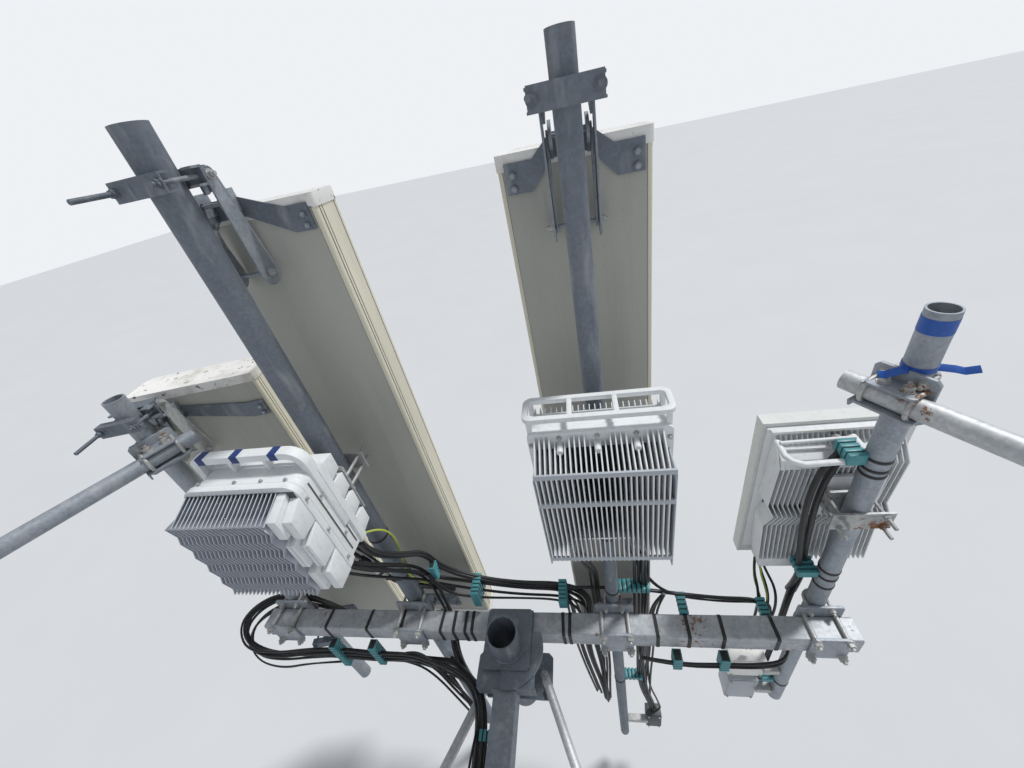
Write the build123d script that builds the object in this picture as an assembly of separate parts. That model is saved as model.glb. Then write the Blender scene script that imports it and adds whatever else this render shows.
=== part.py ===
from build123d import *
from math import atan2, cos, degrees, hypot, pi, radians, sin, sqrt, tan
import os

# Sector antenna mount of a cell tower, in millimetres.
# X runs along the face tube, Y points away from the tower, Z is up.
# The origin lies on the tower side of the mounting plate, at the height of the arm's centre line.

# Steel sections
tube_side = 101.6
tube_wall = 6.35
post_r = 70.65
post_wall = 6.6
pipe_r = 30.15
pipe_wall = 3.9
big_pipe_r = 36.5
big_pipe_wall = 5.2
thick_pipe_r = 44.45
thick_pipe_wall = 5.5
strut_r = 21.2
strut_wall = 3.6
plate = 12.0
clear = 0.3

# Standoff
arm_reach = 928.0
tower_plate_w = 300.0
tower_plate_h = 620.0
tower_bolt_dx = 220.0
tower_bolt_dz = 520.0
tower_bolt_hole_r = 11.0
post_top = 220.0
post_bottom = -430.0
strut_z = -235.0
strut_spread = 24.0
strut_back = 60.0

# Face tube and masts
face_x0 = -1390.0
face_x1 = 1490.0
mast_gap = plate
far_left_mast_x = -1265.0
left_mast_x = -530.0
middle_mast_x = 498.0
right_mast_x = 1368.0
inner_mast_len = 3960.0
outer_mast_len = 2440.0
left_mast_top = 2235.0
middle_mast_top = 2200.0
far_left_mast_top = 1495.0
right_mast_top = 1488.0

# Crossover clamps
cross_plate_w = 180.0
cross_plate_h = 230.0
near_plate_w = 150.0
near_plate_h = 160.0
cross_bolt_r = 9.0
cross_bolt_dx = 120.0
ubolt_r = 6.5

# Tie pipes to the next sectors
tie_angle = 60.0
tie_len = 1500.0
tie_z = 1245.0
tie_side_gap = 12.0
tie_overhang = 120.0

# Panel antennas
antenna_depth = 160.0
antenna_standoff = 165.0
antenna_wall = 3.0
antenna_corner = 45.0
antenna_rim = 14.0
cap_h = 40.0
cap_lip = 3.0
cap_chamfer = 9.0
connector_count = 4
connector_r = 15.0
connector_len = 32.0
hinge_above_bottom = 160.0
tilt_limit = 4.0

# Tilt bracket
clamp_bar_h = 48.0
near_bar_w = 152.0
near_bar_depth = 34.0
far_bar_w = 168.0
far_bar_depth = 30.0
clamp_rod_x = 66.0
clamp_rod_r = 6.0
clamp_rod_end = 22.0
clamp_rod_tail = 88.0
clamp_nut_r = 11.0
clamp_nut_h = 10.0
clamp_wall = 6.0
hinge_clamp_rise = 75.0
pin_r = 6.0
pin_fit = 0.3
open_pin_fit = 4.2
pin_sides = 12
ear_x = 50.0
ear_t = 6.0
ear_round = 18.0
link_t = 5.0
link_gap = 2.0
link_root_r = 16.0
link_elbow_r = 25.0
inner_link_r = 15.0
hinge_out = 65.0
pivot_out = 90.0
pivot_rise = 95.0
ear_pin_out = 120.0
ear_pin_rise = 20.0
upper_link_len = 286.6
lower_link_len = 210.0
wing_margin = 20.0
wing_drop = 22.0
wing_h = 76.0
wing_flat = 68.0
wing_crest = 75.0
wing_waist = 28.0
wing_t = 5.0
wing_gap = cap_lip
wing_bolt_in = 20.0
wing_bolt_drops = (52.0, 84.0)
plate_nut_r = 10.0
hinge_plate_w = 220.0
hinge_plate_h = 120.0

# Radios
radio_fin = 3.0
left_radio_x0 = -850.0
left_radio_x1 = -420.0
left_radio_y = 830.0
left_radio_bottom = 850.0
left_radio_top = 1285.0
middle_radio_w = 384.0
middle_radio_y = 900.0
middle_radio_bottom = 895.0
middle_radio_top = 1362.0
handle_bar = 14.0
active_x0 = 1100.0
active_x1 = 1600.0
active_y = 1400.0
active_bottom = 190.0
active_top = 980.0

# Cables
jumper_r = 9.0
bundle_r = 16.0
cable_sides = 6
gland_r = 14.0


def at(x, y, z):
    return Pos(x, y, z)


def box(x0, x1, y0, y1, z0, z1):
    """A block between two corners."""
    return Pos((x0 + x1) / 2, (y0 + y1) / 2, (z0 + z1) / 2) * Box(x1 - x0, y1 - y0, z1 - z0)


def rod(p, q, r):
    """A round bar from p to q."""
    p, q = Vector(*p), Vector(*q)
    plane = Plane(origin=p, z_dir=q - p)
    return plane * (Pos(0, 0, (q - p).length / 2) * Cylinder(r, (q - p).length))


def bar(p, q, r, sides=8):
    """A slim bar with a few flat sides."""
    p, q = Vector(*p), Vector(*q)
    return Plane(origin=p, z_dir=q - p) * extrude(RegularPolygon(r, sides), (q - p).length)


def bore(p, q, r):
    """The cutter of a pin's hole, with as few sides as the pin."""
    return bar(p, q, r / cos(pi / pin_sides), pin_sides)


def nut(centre, way, r, height):
    """A hexagon nut or bolt head that stands on a face."""
    return Plane(origin=centre, z_dir=way) * extrude(RegularPolygon(r, 6), height)


def panel_yz(x, thick, points):
    """A flat plate in the YZ plane, centred on x."""
    profile = Polyline(*points, close=True)
    return at(x, 0, 0) * extrude(make_face(Plane.YZ * profile), thick / 2, both=True)


def panel_xz(y, thick, points):
    """A flat plate in the XZ plane whose near face lies at y."""
    outline = Polyline(*[(x, y, z) for x, z in points], close=True)
    return extrude(make_face(outline), thick, dir=(0, 1, 0))


def pipe(p, q, r, wall):
    """A pipe from p to q, open at both ends."""
    axis = (Vector(*q) - Vector(*p)).normalized()
    inner = rod((Vector(*p) - axis), (Vector(*q) + axis), r - wall)
    return rod(p, q, r) - inner


def square_tube(p, q, side, wall):
    """A square tube along X or Y, with rounded corners and open ends."""
    p, q = Vector(*p), Vector(*q)
    plane = Plane(origin=p, z_dir=q - p)
    outer = RectangleRounded(side, side, wall * 1.5)
    inner = RectangleRounded(side - 2 * wall, side - 2 * wall, wall * 0.7)
    return plane * extrude(outer - inner, (q - p).length)


def joined(*solids):
    """Solids that touch or overlap, made one."""
    whole = solids[0]
    for solid in solids[1:]:
        whole = whole + solid
    return whole


def apart(*solids):
    """Solids that don't touch, kept as separate solids of one sub-part."""
    return Compound(children=[solid.solid() for solid in solids])


def link(a, b, x, round_a, round_b):
    """A flat link in the YZ plane from a to b, round at both ends, its inner face at x."""
    (ya, za), (yb, zb) = a, b
    length = hypot(yb - ya, zb - za)
    lean = (round_a - round_b) / length
    rise = sqrt(1 - lean * lean)
    waist = Polyline((round_a * lean, round_a * rise), (length + round_b * lean, round_b * rise),
                     (length + round_b * lean, -round_b * rise), (round_a * lean, -round_a * rise),
                     close=True)
    shape = make_face(waist) + Circle(round_a) + Pos(length, 0) * Circle(round_b)
    side = 1 if x > 0 else -1
    plane = Plane(origin=(x, ya, za), x_dir=(0, (yb - ya) / length, (zb - za) / length),
                  z_dir=(side, 0, 0))
    return plane * extrude(shape, link_t)


# Places that follow from the sizes above
face_y = arm_reach + 2 * post_r + tube_side / 2
face_far = face_y + tube_side / 2
face_near = face_y - tube_side / 2
post_y = arm_reach + post_r
top_of_tube = tube_side / 2


def mast_y(radius):
    return face_far + mast_gap + radius


masts = {
    "far_left": (far_left_mast_x, big_pipe_r, big_pipe_wall, far_left_mast_top, outer_mast_len),
    "left": (left_mast_x, thick_pipe_r, thick_pipe_wall, left_mast_top, inner_mast_len),
    "middle": (middle_mast_x, pipe_r, pipe_wall, middle_mast_top, inner_mast_len),
    "right": (right_mast_x, big_pipe_r, big_pipe_wall, right_mast_top, outer_mast_len),
}

# name: centre offset from the mast, width, top, length, rise of the upper bracket, turn about the mast
antennas = {
    "left": (25.0, 500.0, 2010.0, 2440.0, 0.0, 0.0),
    "middle": (4.0, 400.0, 2000.0, 2440.0, 0.0, 0.0),
    "far_left": (130.0, 560.0, 1415.0, 2000.0, -110.0, 10.7),
}


def tower_bracket():
    """The plate that bolts to the tower, with cheeks round the arm and a foot under it."""
    back = box(-tower_plate_w / 2, tower_plate_w / 2, 0, plate, -tower_plate_h / 2, tower_plate_h / 2)
    half = tube_side / 2
    for side in (-1, 1):
        x = side * (half + plate / 2)
        back = back + panel_yz(x, plate, [(plate, -180), (plate, 150), (160, half), (160, -half)])
    for x in (-tower_bolt_dx / 2, tower_bolt_dx / 2):
        for z in (-tower_bolt_dz / 2, tower_bolt_dz / 2):
            back = back - rod((x, -1, z), (x, plate + 1, z), tower_bolt_hole_r)
    return back


def standoff_arm():
    """The square tube from the mounting plate to the post, coped to fit the post."""
    arm = square_tube((0, plate, 0), (0, post_y, 0), tube_side, tube_wall)
    return arm - rod((0, post_y, -200), (0, post_y, 200), post_r)


def arm_saddle():
    """The cap plate over the arm's end, its front lip, and the half round swivel plate."""
    top = top_of_tube
    cap = box(-130, 130, arm_reach - 85, post_y - 20, top, top + plate)
    cap = chamfer(cap.edges().filter_by(Axis.Z), 12)
    lip = box(-130, 130, arm_reach - 85, arm_reach - 85 + plate, top - 62, top)
    lip = lip - box(-tube_side / 2, tube_side / 2, 0, post_y, -tube_side / 2, tube_side / 2)
    disc = at(0, post_y, top + plate + plate / 2) * Cylinder(165, plate)
    disc = disc - box(-400, -20, 0, 3000, 0, 300) - box(-400, 400, face_near, 3000, 0, 300)
    disc = disc - box(-400, post_r - 10, post_y, 3000, 0, 300)
    whole = joined(cap, lip, disc)
    return whole - rod((0, post_y, -100), (0, post_y, 200), post_r)


def post_collar():
    """The square plate round the post that lies on the face tube."""
    z0 = top_of_tube + 2 * plate
    low = box(-110, 110, face_near, face_far - 6, top_of_tube, z0)
    top = box(-110, 110, post_y - 95, face_far - 6, z0, z0 + plate)
    top = chamfer(top.edges().filter_by(Axis.Z), 12)
    return joined(low, top) - rod((0, post_y, -100), (0, post_y, 300), post_r)


def centre_post():
    return pipe((0, post_y, post_bottom), (0, post_y, post_top), post_r, post_wall)


def face_tube():
    return square_tube((face_x0, face_y, 0), (face_x1, face_y, 0), tube_side, tube_wall)


def strut_lug():
    """The lug plate under the arm that both tie back struts bolt to."""
    z = strut_z
    flat = box(-170, 170, post_y - 100, post_y + 100, z - plate / 2, z + plate / 2)
    flat = chamfer(flat.edges().filter_by(Axis.Z), 20)
    return flat - rod((0, post_y, z - 50), (0, post_y, z + 50), post_r)


def tie_back_strut(side):
    """A thin pipe from the lug back to the tower, with a flattened end each side."""
    x0, y0 = side * 130, post_y
    reach = y0 - strut_back
    x1 = x0 + side * reach * tan(radians(strut_spread))
    z = strut_z + plate / 2 + strut_r
    along = Vector(x1 - x0, -reach, 0).normalized()
    p = Vector(x0, y0, z) + along * 60
    q = Vector(x1, strut_back, z)
    body = pipe(p, q, strut_r, strut_wall)
    ends = []
    for point, way in ((p, -1), (q, 1)):
        plane = Plane(origin=(point.X, point.Y, strut_z + plate / 2 + 4),
                      x_dir=(along * way), z_dir=(0, 0, 1))
        tongue = plane * (Pos(22, 0, 0) * Box(96, 2 * strut_r - 2, 8))
        plug = plane * (Pos(-13, 0, strut_r - 4) * (Rot(0, 90, 0) * Cylinder(strut_r - 1, 26)))
        hole = plane * (Pos(48, 0, 0) * Cylinder(9, 60))
        ends.append((joined(plug, tongue), hole))
    for solid, hole in ends:
        body = body + solid - hole
    return body


def mast(name):
    x, radius, wall, top, length = masts[name]
    y = mast_y(radius)
    return pipe((x, y, top - length), (x, y, top), radius, wall)


def bolt(x, y0, y1, z, r):
    """A bolt along Y with a hexagon head at y0 and a nut at y1."""
    head = nut((x, y0, z), (0, -1, 0), r * 1.8, r * 1.3)
    end = nut((x, y1, z), (0, 1, 0), r * 1.8, r * 1.6)
    return joined(head, bar((x, y0 - 1, z), (x, y1 + r * 3, z), r), end)


def u_bolt(centre, along, legs_to, radius, leg, seat):
    """A U bolt round a pipe that runs along one way, its legs pointing another, with nuts on the seat."""
    centre, along, legs_to = Vector(*centre), Vector(*along), Vector(*legs_to)
    side = along.cross(legs_to).normalized()
    inner = (radius + clear) / cos(radians(15))
    outer = inner + 2 * ubolt_r
    turns = [radians(30 * i) for i in range(7)]
    bow = [(outer * cos(a), -outer * sin(a)) for a in turns]
    hollow = [(inner * cos(a), -inner * sin(a)) for a in reversed(turns)]
    outline = Polyline((outer, leg), *bow, (-outer, leg), (-inner, leg), *hollow, (inner, leg), close=True)
    plane = Plane(origin=centre, x_dir=side, z_dir=side.cross(legs_to))
    parts = [plane * extrude(make_face(outline), ubolt_r, both=True)]
    for sign in (-1, 1):
        foot = centre + side * (sign * (inner + ubolt_r)) + legs_to * seat
        parts.append(nut(foot, legs_to, ubolt_r * 1.9, 11))
    return joined(*parts)


def crossover(name):
    """The clamp that holds a mast to the face tube: two plates, four bolts, two U bolts."""
    x, radius = masts[name][0], masts[name][1]
    y = mast_y(radius)
    far = box(x - cross_plate_w / 2, x + cross_plate_w / 2, face_far, face_far + plate,
              -cross_plate_h / 2, cross_plate_h / 2)
    near = box(x - near_plate_w / 2, x + near_plate_w / 2, face_near - plate, face_near,
               -near_plate_h / 2, near_plate_h / 2)
    parts = [far, near]
    bolt_z = tube_side / 2 + cross_bolt_r + 2
    for dx in (-cross_bolt_dx / 2, cross_bolt_dx / 2):
        for z in (-bolt_z, bolt_z):
            parts.append(bolt(x + dx, face_near - plate, face_far + plate, z, cross_bolt_r))
    for z in (-95, 95):
        reach = radius + mast_gap
        parts.append(u_bolt((x, y, z), (0, 0, 1), (0, -1, 0), radius, reach + 22, reach))
    return joined(*parts)


def tie_line(side):
    """Start and end of the pipe that ties the outer mast to the next sector."""
    name = "right" if side > 0 else "far_left"
    x, radius = masts[name][0], masts[name][1]
    y = mast_y(radius)
    way = Vector(side * cos(radians(tie_angle)), -sin(radians(tie_angle)), 0)
    inward = Vector(-side * sin(radians(tie_angle)), -cos(radians(tie_angle)), 0)
    centre = Vector(x, y, tie_z) + inward * (radius + pipe_r + tie_side_gap)
    return centre, way, inward


def tie_pipe(side):
    centre, way, inward = tie_line(side)
    start = centre - way * tie_overhang
    end = centre + way * (tie_len - tie_overhang)
    return pipe(start, end, pipe_r, pipe_wall)


def tie_clamp(side):
    """The crossover that holds a tie pipe to its mast."""
    centre, way, inward = tie_line(side)
    x, radius = masts["right" if side > 0 else "far_left"][:2]
    mast_centre = Vector(x, mast_y(radius), tie_z)
    middle = mast_centre + inward * (radius + tie_side_gap / 2)
    parts = [Plane(origin=middle, x_dir=way, z_dir=inward) * Box(140, 150, tie_side_gap)]
    for z in (-50, 50):
        here = mast_centre + Vector(0, 0, z)
        seat = radius + tie_side_gap
        parts.append(u_bolt(here, (0, 0, 1), inward, radius, seat + 20, seat))
    for s in (-1, 1):
        hub = centre + way * (s * 55)
        seat = pipe_r + tie_side_gap
        parts.append(u_bolt(hub, way, (inward * -1), pipe_r, seat + 20, seat))
    return joined(*parts)


def antenna_frame(name):
    """Where one antenna and its bracket lie, worked out from its mast."""
    shift, width, top, length, rise, turn = antennas[name]
    x, radius = masts[name][0], masts[name][1]
    y = mast_y(radius)
    return {
        "x": x, "y": y, "r": radius, "cx": x + shift, "w": width, "top": top, "bottom": top - length,
        "back": y + antenna_standoff, "turn": turn, "bracket_z": top + rise,
        "hinge": (y + hinge_out, top - length + hinge_above_bottom),
        "pivot": (y + pivot_out, top + rise + pivot_rise),
        "ear": (y + ear_pin_out, top + rise + ear_pin_rise),
    }


def elbow(pivot, ear):
    """The lower of the two points at the links' lengths from the pivot and from the ear pin."""
    dy, dz = ear[0] - pivot[0], ear[1] - pivot[1]
    d = hypot(dy, dz)
    a = (upper_link_len ** 2 - lower_link_len ** 2 + d * d) / (2 * d)
    h = sqrt(upper_link_len ** 2 - a * a)
    my, mz = pivot[0] + a * dy / d, pivot[1] + a * dz / d
    one = (my + h * dz / d, mz - h * dy / d)
    two = (my - h * dz / d, mz + h * dy / d)
    return one if one[1] < two[1] else two


def tilted(point, hinge, angle):
    """A point of the antenna after it tilts outward by an angle in degrees."""
    dy, dz = point[0] - hinge[0], point[1] - hinge[1]
    c, s = cos(radians(angle)), sin(radians(angle))
    return hinge[0] + dy * c + dz * s, hinge[1] - dy * s + dz * c


def link_angles(name, tilt):
    """Angles of both links at a tilt, in degrees, growing as the links open outward."""
    f = antenna_frame(name)
    ear = tilted(f["ear"], f["hinge"], tilt)
    k = elbow(f["pivot"], ear)
    first = degrees(atan2(k[0] - f["pivot"][0], f["pivot"][1] - k[1]))
    second = degrees(atan2(ear[0] - k[0], ear[1] - k[1]))
    return first, second


def antenna_profile(width, depth, corner):
    """The section of a radome, flat at the back and rounded at the front."""
    shape = Rectangle(width, depth)
    shape = fillet(shape.vertices().group_by(Axis.Y)[-1], corner)
    return fillet(shape.vertices().group_by(Axis.Y)[0], 12)


def antenna_radome(name):
    """The cover of the panel antenna, a thin wall open at the back."""
    f = antenna_frame(name)
    outer = antenna_profile(f["w"], antenna_depth, antenna_corner)
    inner = antenna_profile(f["w"] - 2 * antenna_wall, antenna_depth - 2 * antenna_wall,
                            antenna_corner - antenna_wall)
    rim = f["w"] / 2 - antenna_rim
    opening = Pos(0, -antenna_depth / 2) * Rectangle(2 * rim, 4 * antenna_wall)
    shape = outer - inner - opening
    z0 = f["bottom"] + cap_h
    height = f["top"] - f["bottom"] - 2 * cap_h
    return at(f["cx"], f["back"] + antenna_depth / 2, z0) * extrude(shape, height)


def antenna_back(name):
    """The grey tray that closes the back, with a rib down each side."""
    f = antenna_frame(name)
    rim = f["w"] / 2 - antenna_rim - clear
    z0, z1 = f["bottom"] + cap_h, f["top"] - cap_h
    back = box(f["cx"] - rim, f["cx"] + rim, f["back"], f["back"] + 4, z0, z1)
    for side in (-1, 1):
        x = f["cx"] + side * (rim - 20)
        back = back + box(x - 6, x + 6, f["back"] + 4, f["back"] + 40, z0, z1)
    return back


def antenna_cap(name, top):
    """An end cap that covers the radome's end, with a shallow step."""
    f = antenna_frame(name)
    shape = antenna_profile(f["w"] + 2 * cap_lip, antenna_depth + 2 * cap_lip, antenna_corner + cap_lip)
    z0 = f["top"] - cap_h if top else f["bottom"]
    cap = at(f["cx"], f["back"] + antenna_depth / 2, z0) * extrude(shape, cap_h)
    if top:
        return chamfer(cap.edges().group_by(Axis.Z)[-1], cap_chamfer)
    y = f["back"] + antenna_depth / 2
    for i in range(connector_count):
        x = f["cx"] + (i - (connector_count - 1) / 2) * f["w"] / (connector_count + 1)
        cap = joined(cap, bar((x, y, z0 + 5), (x, y, z0 - connector_len), connector_r, 6))
    return cap


def clamp(name, z, pivot, tail):
    """Two channels round the mast, held by two threaded rods, with a cheek each side for the pivot."""
    f = antenna_frame(name)
    x, y, r = f["x"], f["y"], f["r"]
    low, high = z - clamp_bar_h / 2, z + clamp_bar_h / 2
    near, far = y - r - near_bar_depth, y + r
    half = near_bar_w / 2
    parts = [box(x - half, x + half, near, near + clamp_wall, low, high),
             box(x - far_bar_w / 2, x + far_bar_w / 2, far, far + clamp_wall, low, high)]
    for z0, z1 in ((low, low + clamp_wall), (high - clamp_wall, high)):
        parts.append(box(x - half, x + half, near, y - r, z0, z1))
        for side in (-1, 1):
            x0, x1 = sorted((x + side * (r + 10), x + side * far_bar_w / 2))
            parts.append(box(x0, x1, far - far_bar_depth, far, z0, z1))
    for side, reach in ((-1, tail), (1, 0)):
        rod_x = x + side * clamp_rod_x
        parts.append(bar((rod_x, near - clamp_rod_end - reach, z), (rod_x, far + clamp_rod_end, z), clamp_rod_r))
        parts.append(nut((rod_x, near, z), (0, -1, 0), clamp_nut_r, clamp_nut_h))
        parts.append(nut((rod_x, far + clamp_wall, z), (0, 1, 0), clamp_nut_r, clamp_nut_h))
        parts.append(cheek(f, x + side * (ear_x + ear_t / 2), low, high, pivot))
    return joined(*parts)


def cheek(f, x, low, high, pivot):
    """The plate that reaches from the far channel to a pivot, bored for its pin."""
    y0, (y1, z1) = f["y"] + f["r"] + clamp_wall / 2, pivot
    nose = ear_round * tan(pi / 8)
    top, bottom = max(high, z1 + ear_round), z1 - ear_round
    side = panel_yz(x, ear_t, [(y0, high), (y1 - 6, top), (y1 + ear_round, z1 + nose),
                               (y1 + ear_round, z1 - nose), (y1 + nose, bottom),
                               (y1 - nose, bottom), (y0, min(low, z1))])
    return side - bore((x - ear_t, y1, z1), (x + ear_t, y1, z1), pin_r + pin_fit)


def upper_clamp(name):
    pivot = antenna_frame(name)["pivot"]
    return clamp(name, pivot[1], pivot, clamp_rod_tail)


def lower_clamp(name):
    hinge = antenna_frame(name)["hinge"]
    return clamp(name, hinge[1] + hinge_clamp_rise, hinge, 0)


outer_link_x = ear_x + ear_t + link_gap


def upper_links(name):
    """The two outer links, joined by the pivot pin and by the elbow pin."""
    f = antenna_frame(name)
    k = elbow(f["pivot"], f["ear"])
    tip = outer_link_x + link_t
    parts = []
    for y, z in (f["pivot"], k):
        parts.append(bar((f["x"] - tip, y, z), (f["x"] + tip, y, z), pin_r, pin_sides))
        for side in (-1, 1):
            parts.append(nut((f["x"] + side * tip, y, z), (side, 0, 0), plate_nut_r, 7))
    for side in (-1, 1):
        parts.append(at(f["x"], 0, 0) * link(f["pivot"], k, side * outer_link_x, link_root_r, link_elbow_r))
    return joined(*parts)


def lower_links(name):
    """The two inner links, bored for the elbow pin, joined by the pin in the antenna's ears."""
    f = antenna_frame(name)
    k = elbow(f["pivot"], f["ear"])
    tip = ear_x + link_t
    parts = [bar((f["x"] - tip, *f["ear"]), (f["x"] + tip, *f["ear"]), pin_r, pin_sides)]
    for side in (-1, 1):
        parts.append(at(f["x"], 0, 0) * link(f["ear"], k, side * ear_x, inner_link_r, inner_link_r))
    whole = joined(*parts)
    return whole - bore((f["x"] - 2 * ear_x, *k), (f["x"] + 2 * ear_x, *k), pin_r + pin_fit)


def ears(f, point, fit, top, bottom, rear):
    """The pair of ears that stand out from an antenna's back round a pin."""
    y, z = point
    mid = ear_x - link_gap - ear_t / 2
    front = y - ear_round
    pair = []
    for side in (-1, 1):
        x = f["x"] + side * mid
        ear = panel_yz(x, ear_t, [(rear, top), (front + 8, top), (front, top - 8),
                                  (front, bottom + 14), (front + 14, bottom), (rear, bottom)])
        pair.append(ear - bore((x - ear_t, y, z), (x + ear_t, y, z), pin_r + fit) if fit else ear)
    return pair


def ear_plate(name):
    """The winged plate on the antenna's back, with an oversize hole in each ear for the links' pin."""
    f = antenna_frame(name)
    rear, top = f["back"] - wing_gap, f["bracket_z"]
    inner = ear_x - link_gap
    reach = f["w"] / 2 - wing_margin
    low = -wing_drop - wing_h
    right = [(f["x"] + inner, wing_waist), (f["cx"] + reach - wing_crest, -wing_drop),
             (f["cx"] + reach, -wing_drop), (f["cx"] + reach, low),
             (f["cx"] + reach - wing_flat, low), (f["x"] + inner, -wing_waist)]
    left = [(f["x"] - inner, -wing_waist), (f["cx"] - reach + wing_flat, low),
            (f["cx"] - reach, low), (f["cx"] - reach, -wing_drop),
            (f["cx"] - reach + wing_crest, -wing_drop), (f["x"] - inner, wing_waist)]
    parts = [panel_xz(rear - wing_t, wing_t, [(x, top + z) for x, z in right + left])]
    parts += ears(f, f["ear"], open_pin_fit, f["ear"][1] + ear_round, top - wing_waist, rear)
    for side in (-1, 1):
        for drop in wing_bolt_drops:
            x, z = f["cx"] + side * (reach - wing_bolt_in), top - drop
            parts.append(nut((x, rear - wing_t, z), (0, -1, 0), plate_nut_r, 8))
            parts.append(nut((x, rear, z), (0, 1, 0), plate_nut_r, wing_gap))
    return joined(*parts)


def hinge_plate(name):
    """The lower bracket on the antenna, with the hinge pin."""
    f = antenna_frame(name)
    y, z = f["hinge"]
    x, back = f["x"], f["back"]
    half = hinge_plate_w / 2
    parts = [box(x - half, x + half, back - wing_t, back, z - hinge_plate_h / 2, z + hinge_plate_h / 2)]
    parts += ears(f, f["hinge"], 0, z + ear_round, z - ear_round, back)
    tip = ear_x + ear_t + link_t
    parts.append(bar((x - tip, y, z), (x + tip, y, z), pin_r, pin_sides))
    for side in (-1, 1):
        for dz in (-35, 35):
            parts.append(nut((x + side * (half - 20), back - wing_t, z + dz), (0, -1, 0), plate_nut_r, 8))
    return joined(*parts)


def turned(name, shape):
    """A piece of an antenna or its bracket, turned about its mast to the antenna's bearing."""
    f = antenna_frame(name)
    return at(f["x"], f["y"], 0) * Rot(0, 0, f["turn"]) * at(-f["x"], -f["y"], 0) * shape


def comb(width, depth, fin, pitch, web):
    """The section of a heat sink: fins along -Y on a web."""
    count = int((width - fin) / pitch) + 1
    span = (count - 1) * pitch
    shape = Pos(0, -web / 2) * Rectangle(width, web)
    for i in range(count):
        shape = shape + Pos(-span / 2 + i * pitch, -depth / 2) * Rectangle(fin, depth)
    return shape


def radio_bracket(x, y_mast, r, y_back, z, half, way):
    """The plate behind a radio and its clamp: way is 1 where the radio is on the tower side."""
    near, far = y_mast - way * r, y_mast + way * r

    def slab(x0, x1, y0, y1, z0, z1):
        return box(x0, x1, min(y0, y1), max(y0, y1), z0, z1)

    parts = [slab(x - half, x + half, y_back, y_back + way * 6, z - 110, z + 110)]
    parts.append(slab(x - 70, x + 70, near, near - way * 10, z - 60, z + 60))
    for side in (-1, 1):
        parts.append(slab(x + side * 60 - 5, x + side * 60 + 5, y_back, near - way * 10, z - 50, z + 50))
    parts.append(slab(x - 95, x + 95, far, far + way * 8, z - 40, z + 40))
    for side in (-1, 1):
        for zz in (-25, 25):
            rx = x + side * (r + 30)
            parts.append(bar((rx, near - way * 34, z + zz), (rx, far + way * 60, z + zz), 6))
            parts.append(nut((rx, far + way * 8, z + zz), (0, way, 0), 11, 10))
    return joined(*parts)


def frame_handle(points, r, legs_to):
    """A handle bent from bar through the points, with a leg at each corner down to a height."""
    parts = []
    for a, b in zip(points, points[1:]):
        parts.append(bar(a, b, r, 6))
    for x, y, z in (points[0], points[-1]):
        parts.append(bar((x, y, z + r * 0.8), (x, y, legs_to), r, 6))
    return parts


def left_radio():
    """The deep radio by the left mast: rows of staggered fins, smooth blocks, rear fins, handle, bracket."""
    x0, x1, y0 = left_radio_x0, left_radio_x1, left_radio_y
    z0, z1 = left_radio_bottom, left_radio_top
    web_y = y0 + 100
    fins_w = x1 - x0 - 150
    cx = x0 + 80 + fins_w / 2
    rows, pitch = 6, 22
    row_h = (z1 - z0 - 20) / rows
    front = box(x0 + 70, x1 - 4, web_y - 14, web_y, z0, z1 - 15)
    for i in range(rows):
        shift = pitch / 4 * (-1) ** i
        fins = extrude(comb(fins_w, 100 - 14, radio_fin, pitch, 6), row_h - 6)
        front = front + at(cx + shift, web_y - 14, z0 + i * row_h) * fins
    for i in range(3):
        low = z0 + 10 + i * (z1 - z0 - 40) / 3
        block = box(x1 - 66, x1 - 6, y0 + 12, web_y - 10, low, low + 125)
        front = front + chamfer(block.edges().group_by(Axis.Y)[0], 14)
    body = box(x0, x1, web_y, y0 + 240, z0 - 10, z1)
    body = chamfer(body.edges().filter_by(Axis.Z), 14)
    grip = [(x0 + 30, y0 + 200, z1 + 48), (x1 - 30, y0 + 200, z1 + 48)]
    body = joined(body, *frame_handle(grip, 13, z1 - 5))
    back = (x0 + x1) / 2
    rear = at(back, y0 + 240, z0) * (Rot(0, 0, 180) * extrude(comb(x1 - x0, 60, 4, 22, 12), z1 - z0 - 40))
    radius = masts["left"][1]
    bracket = radio_bracket(masts["left"][0], mast_y(radius), radius, y0 + 300, 1050, 110, 1)
    return {"left_radio_fins": front, "left_radio_body": body, "left_radio_rear_fins": rear,
            "left_radio_bracket": bracket}


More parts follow.
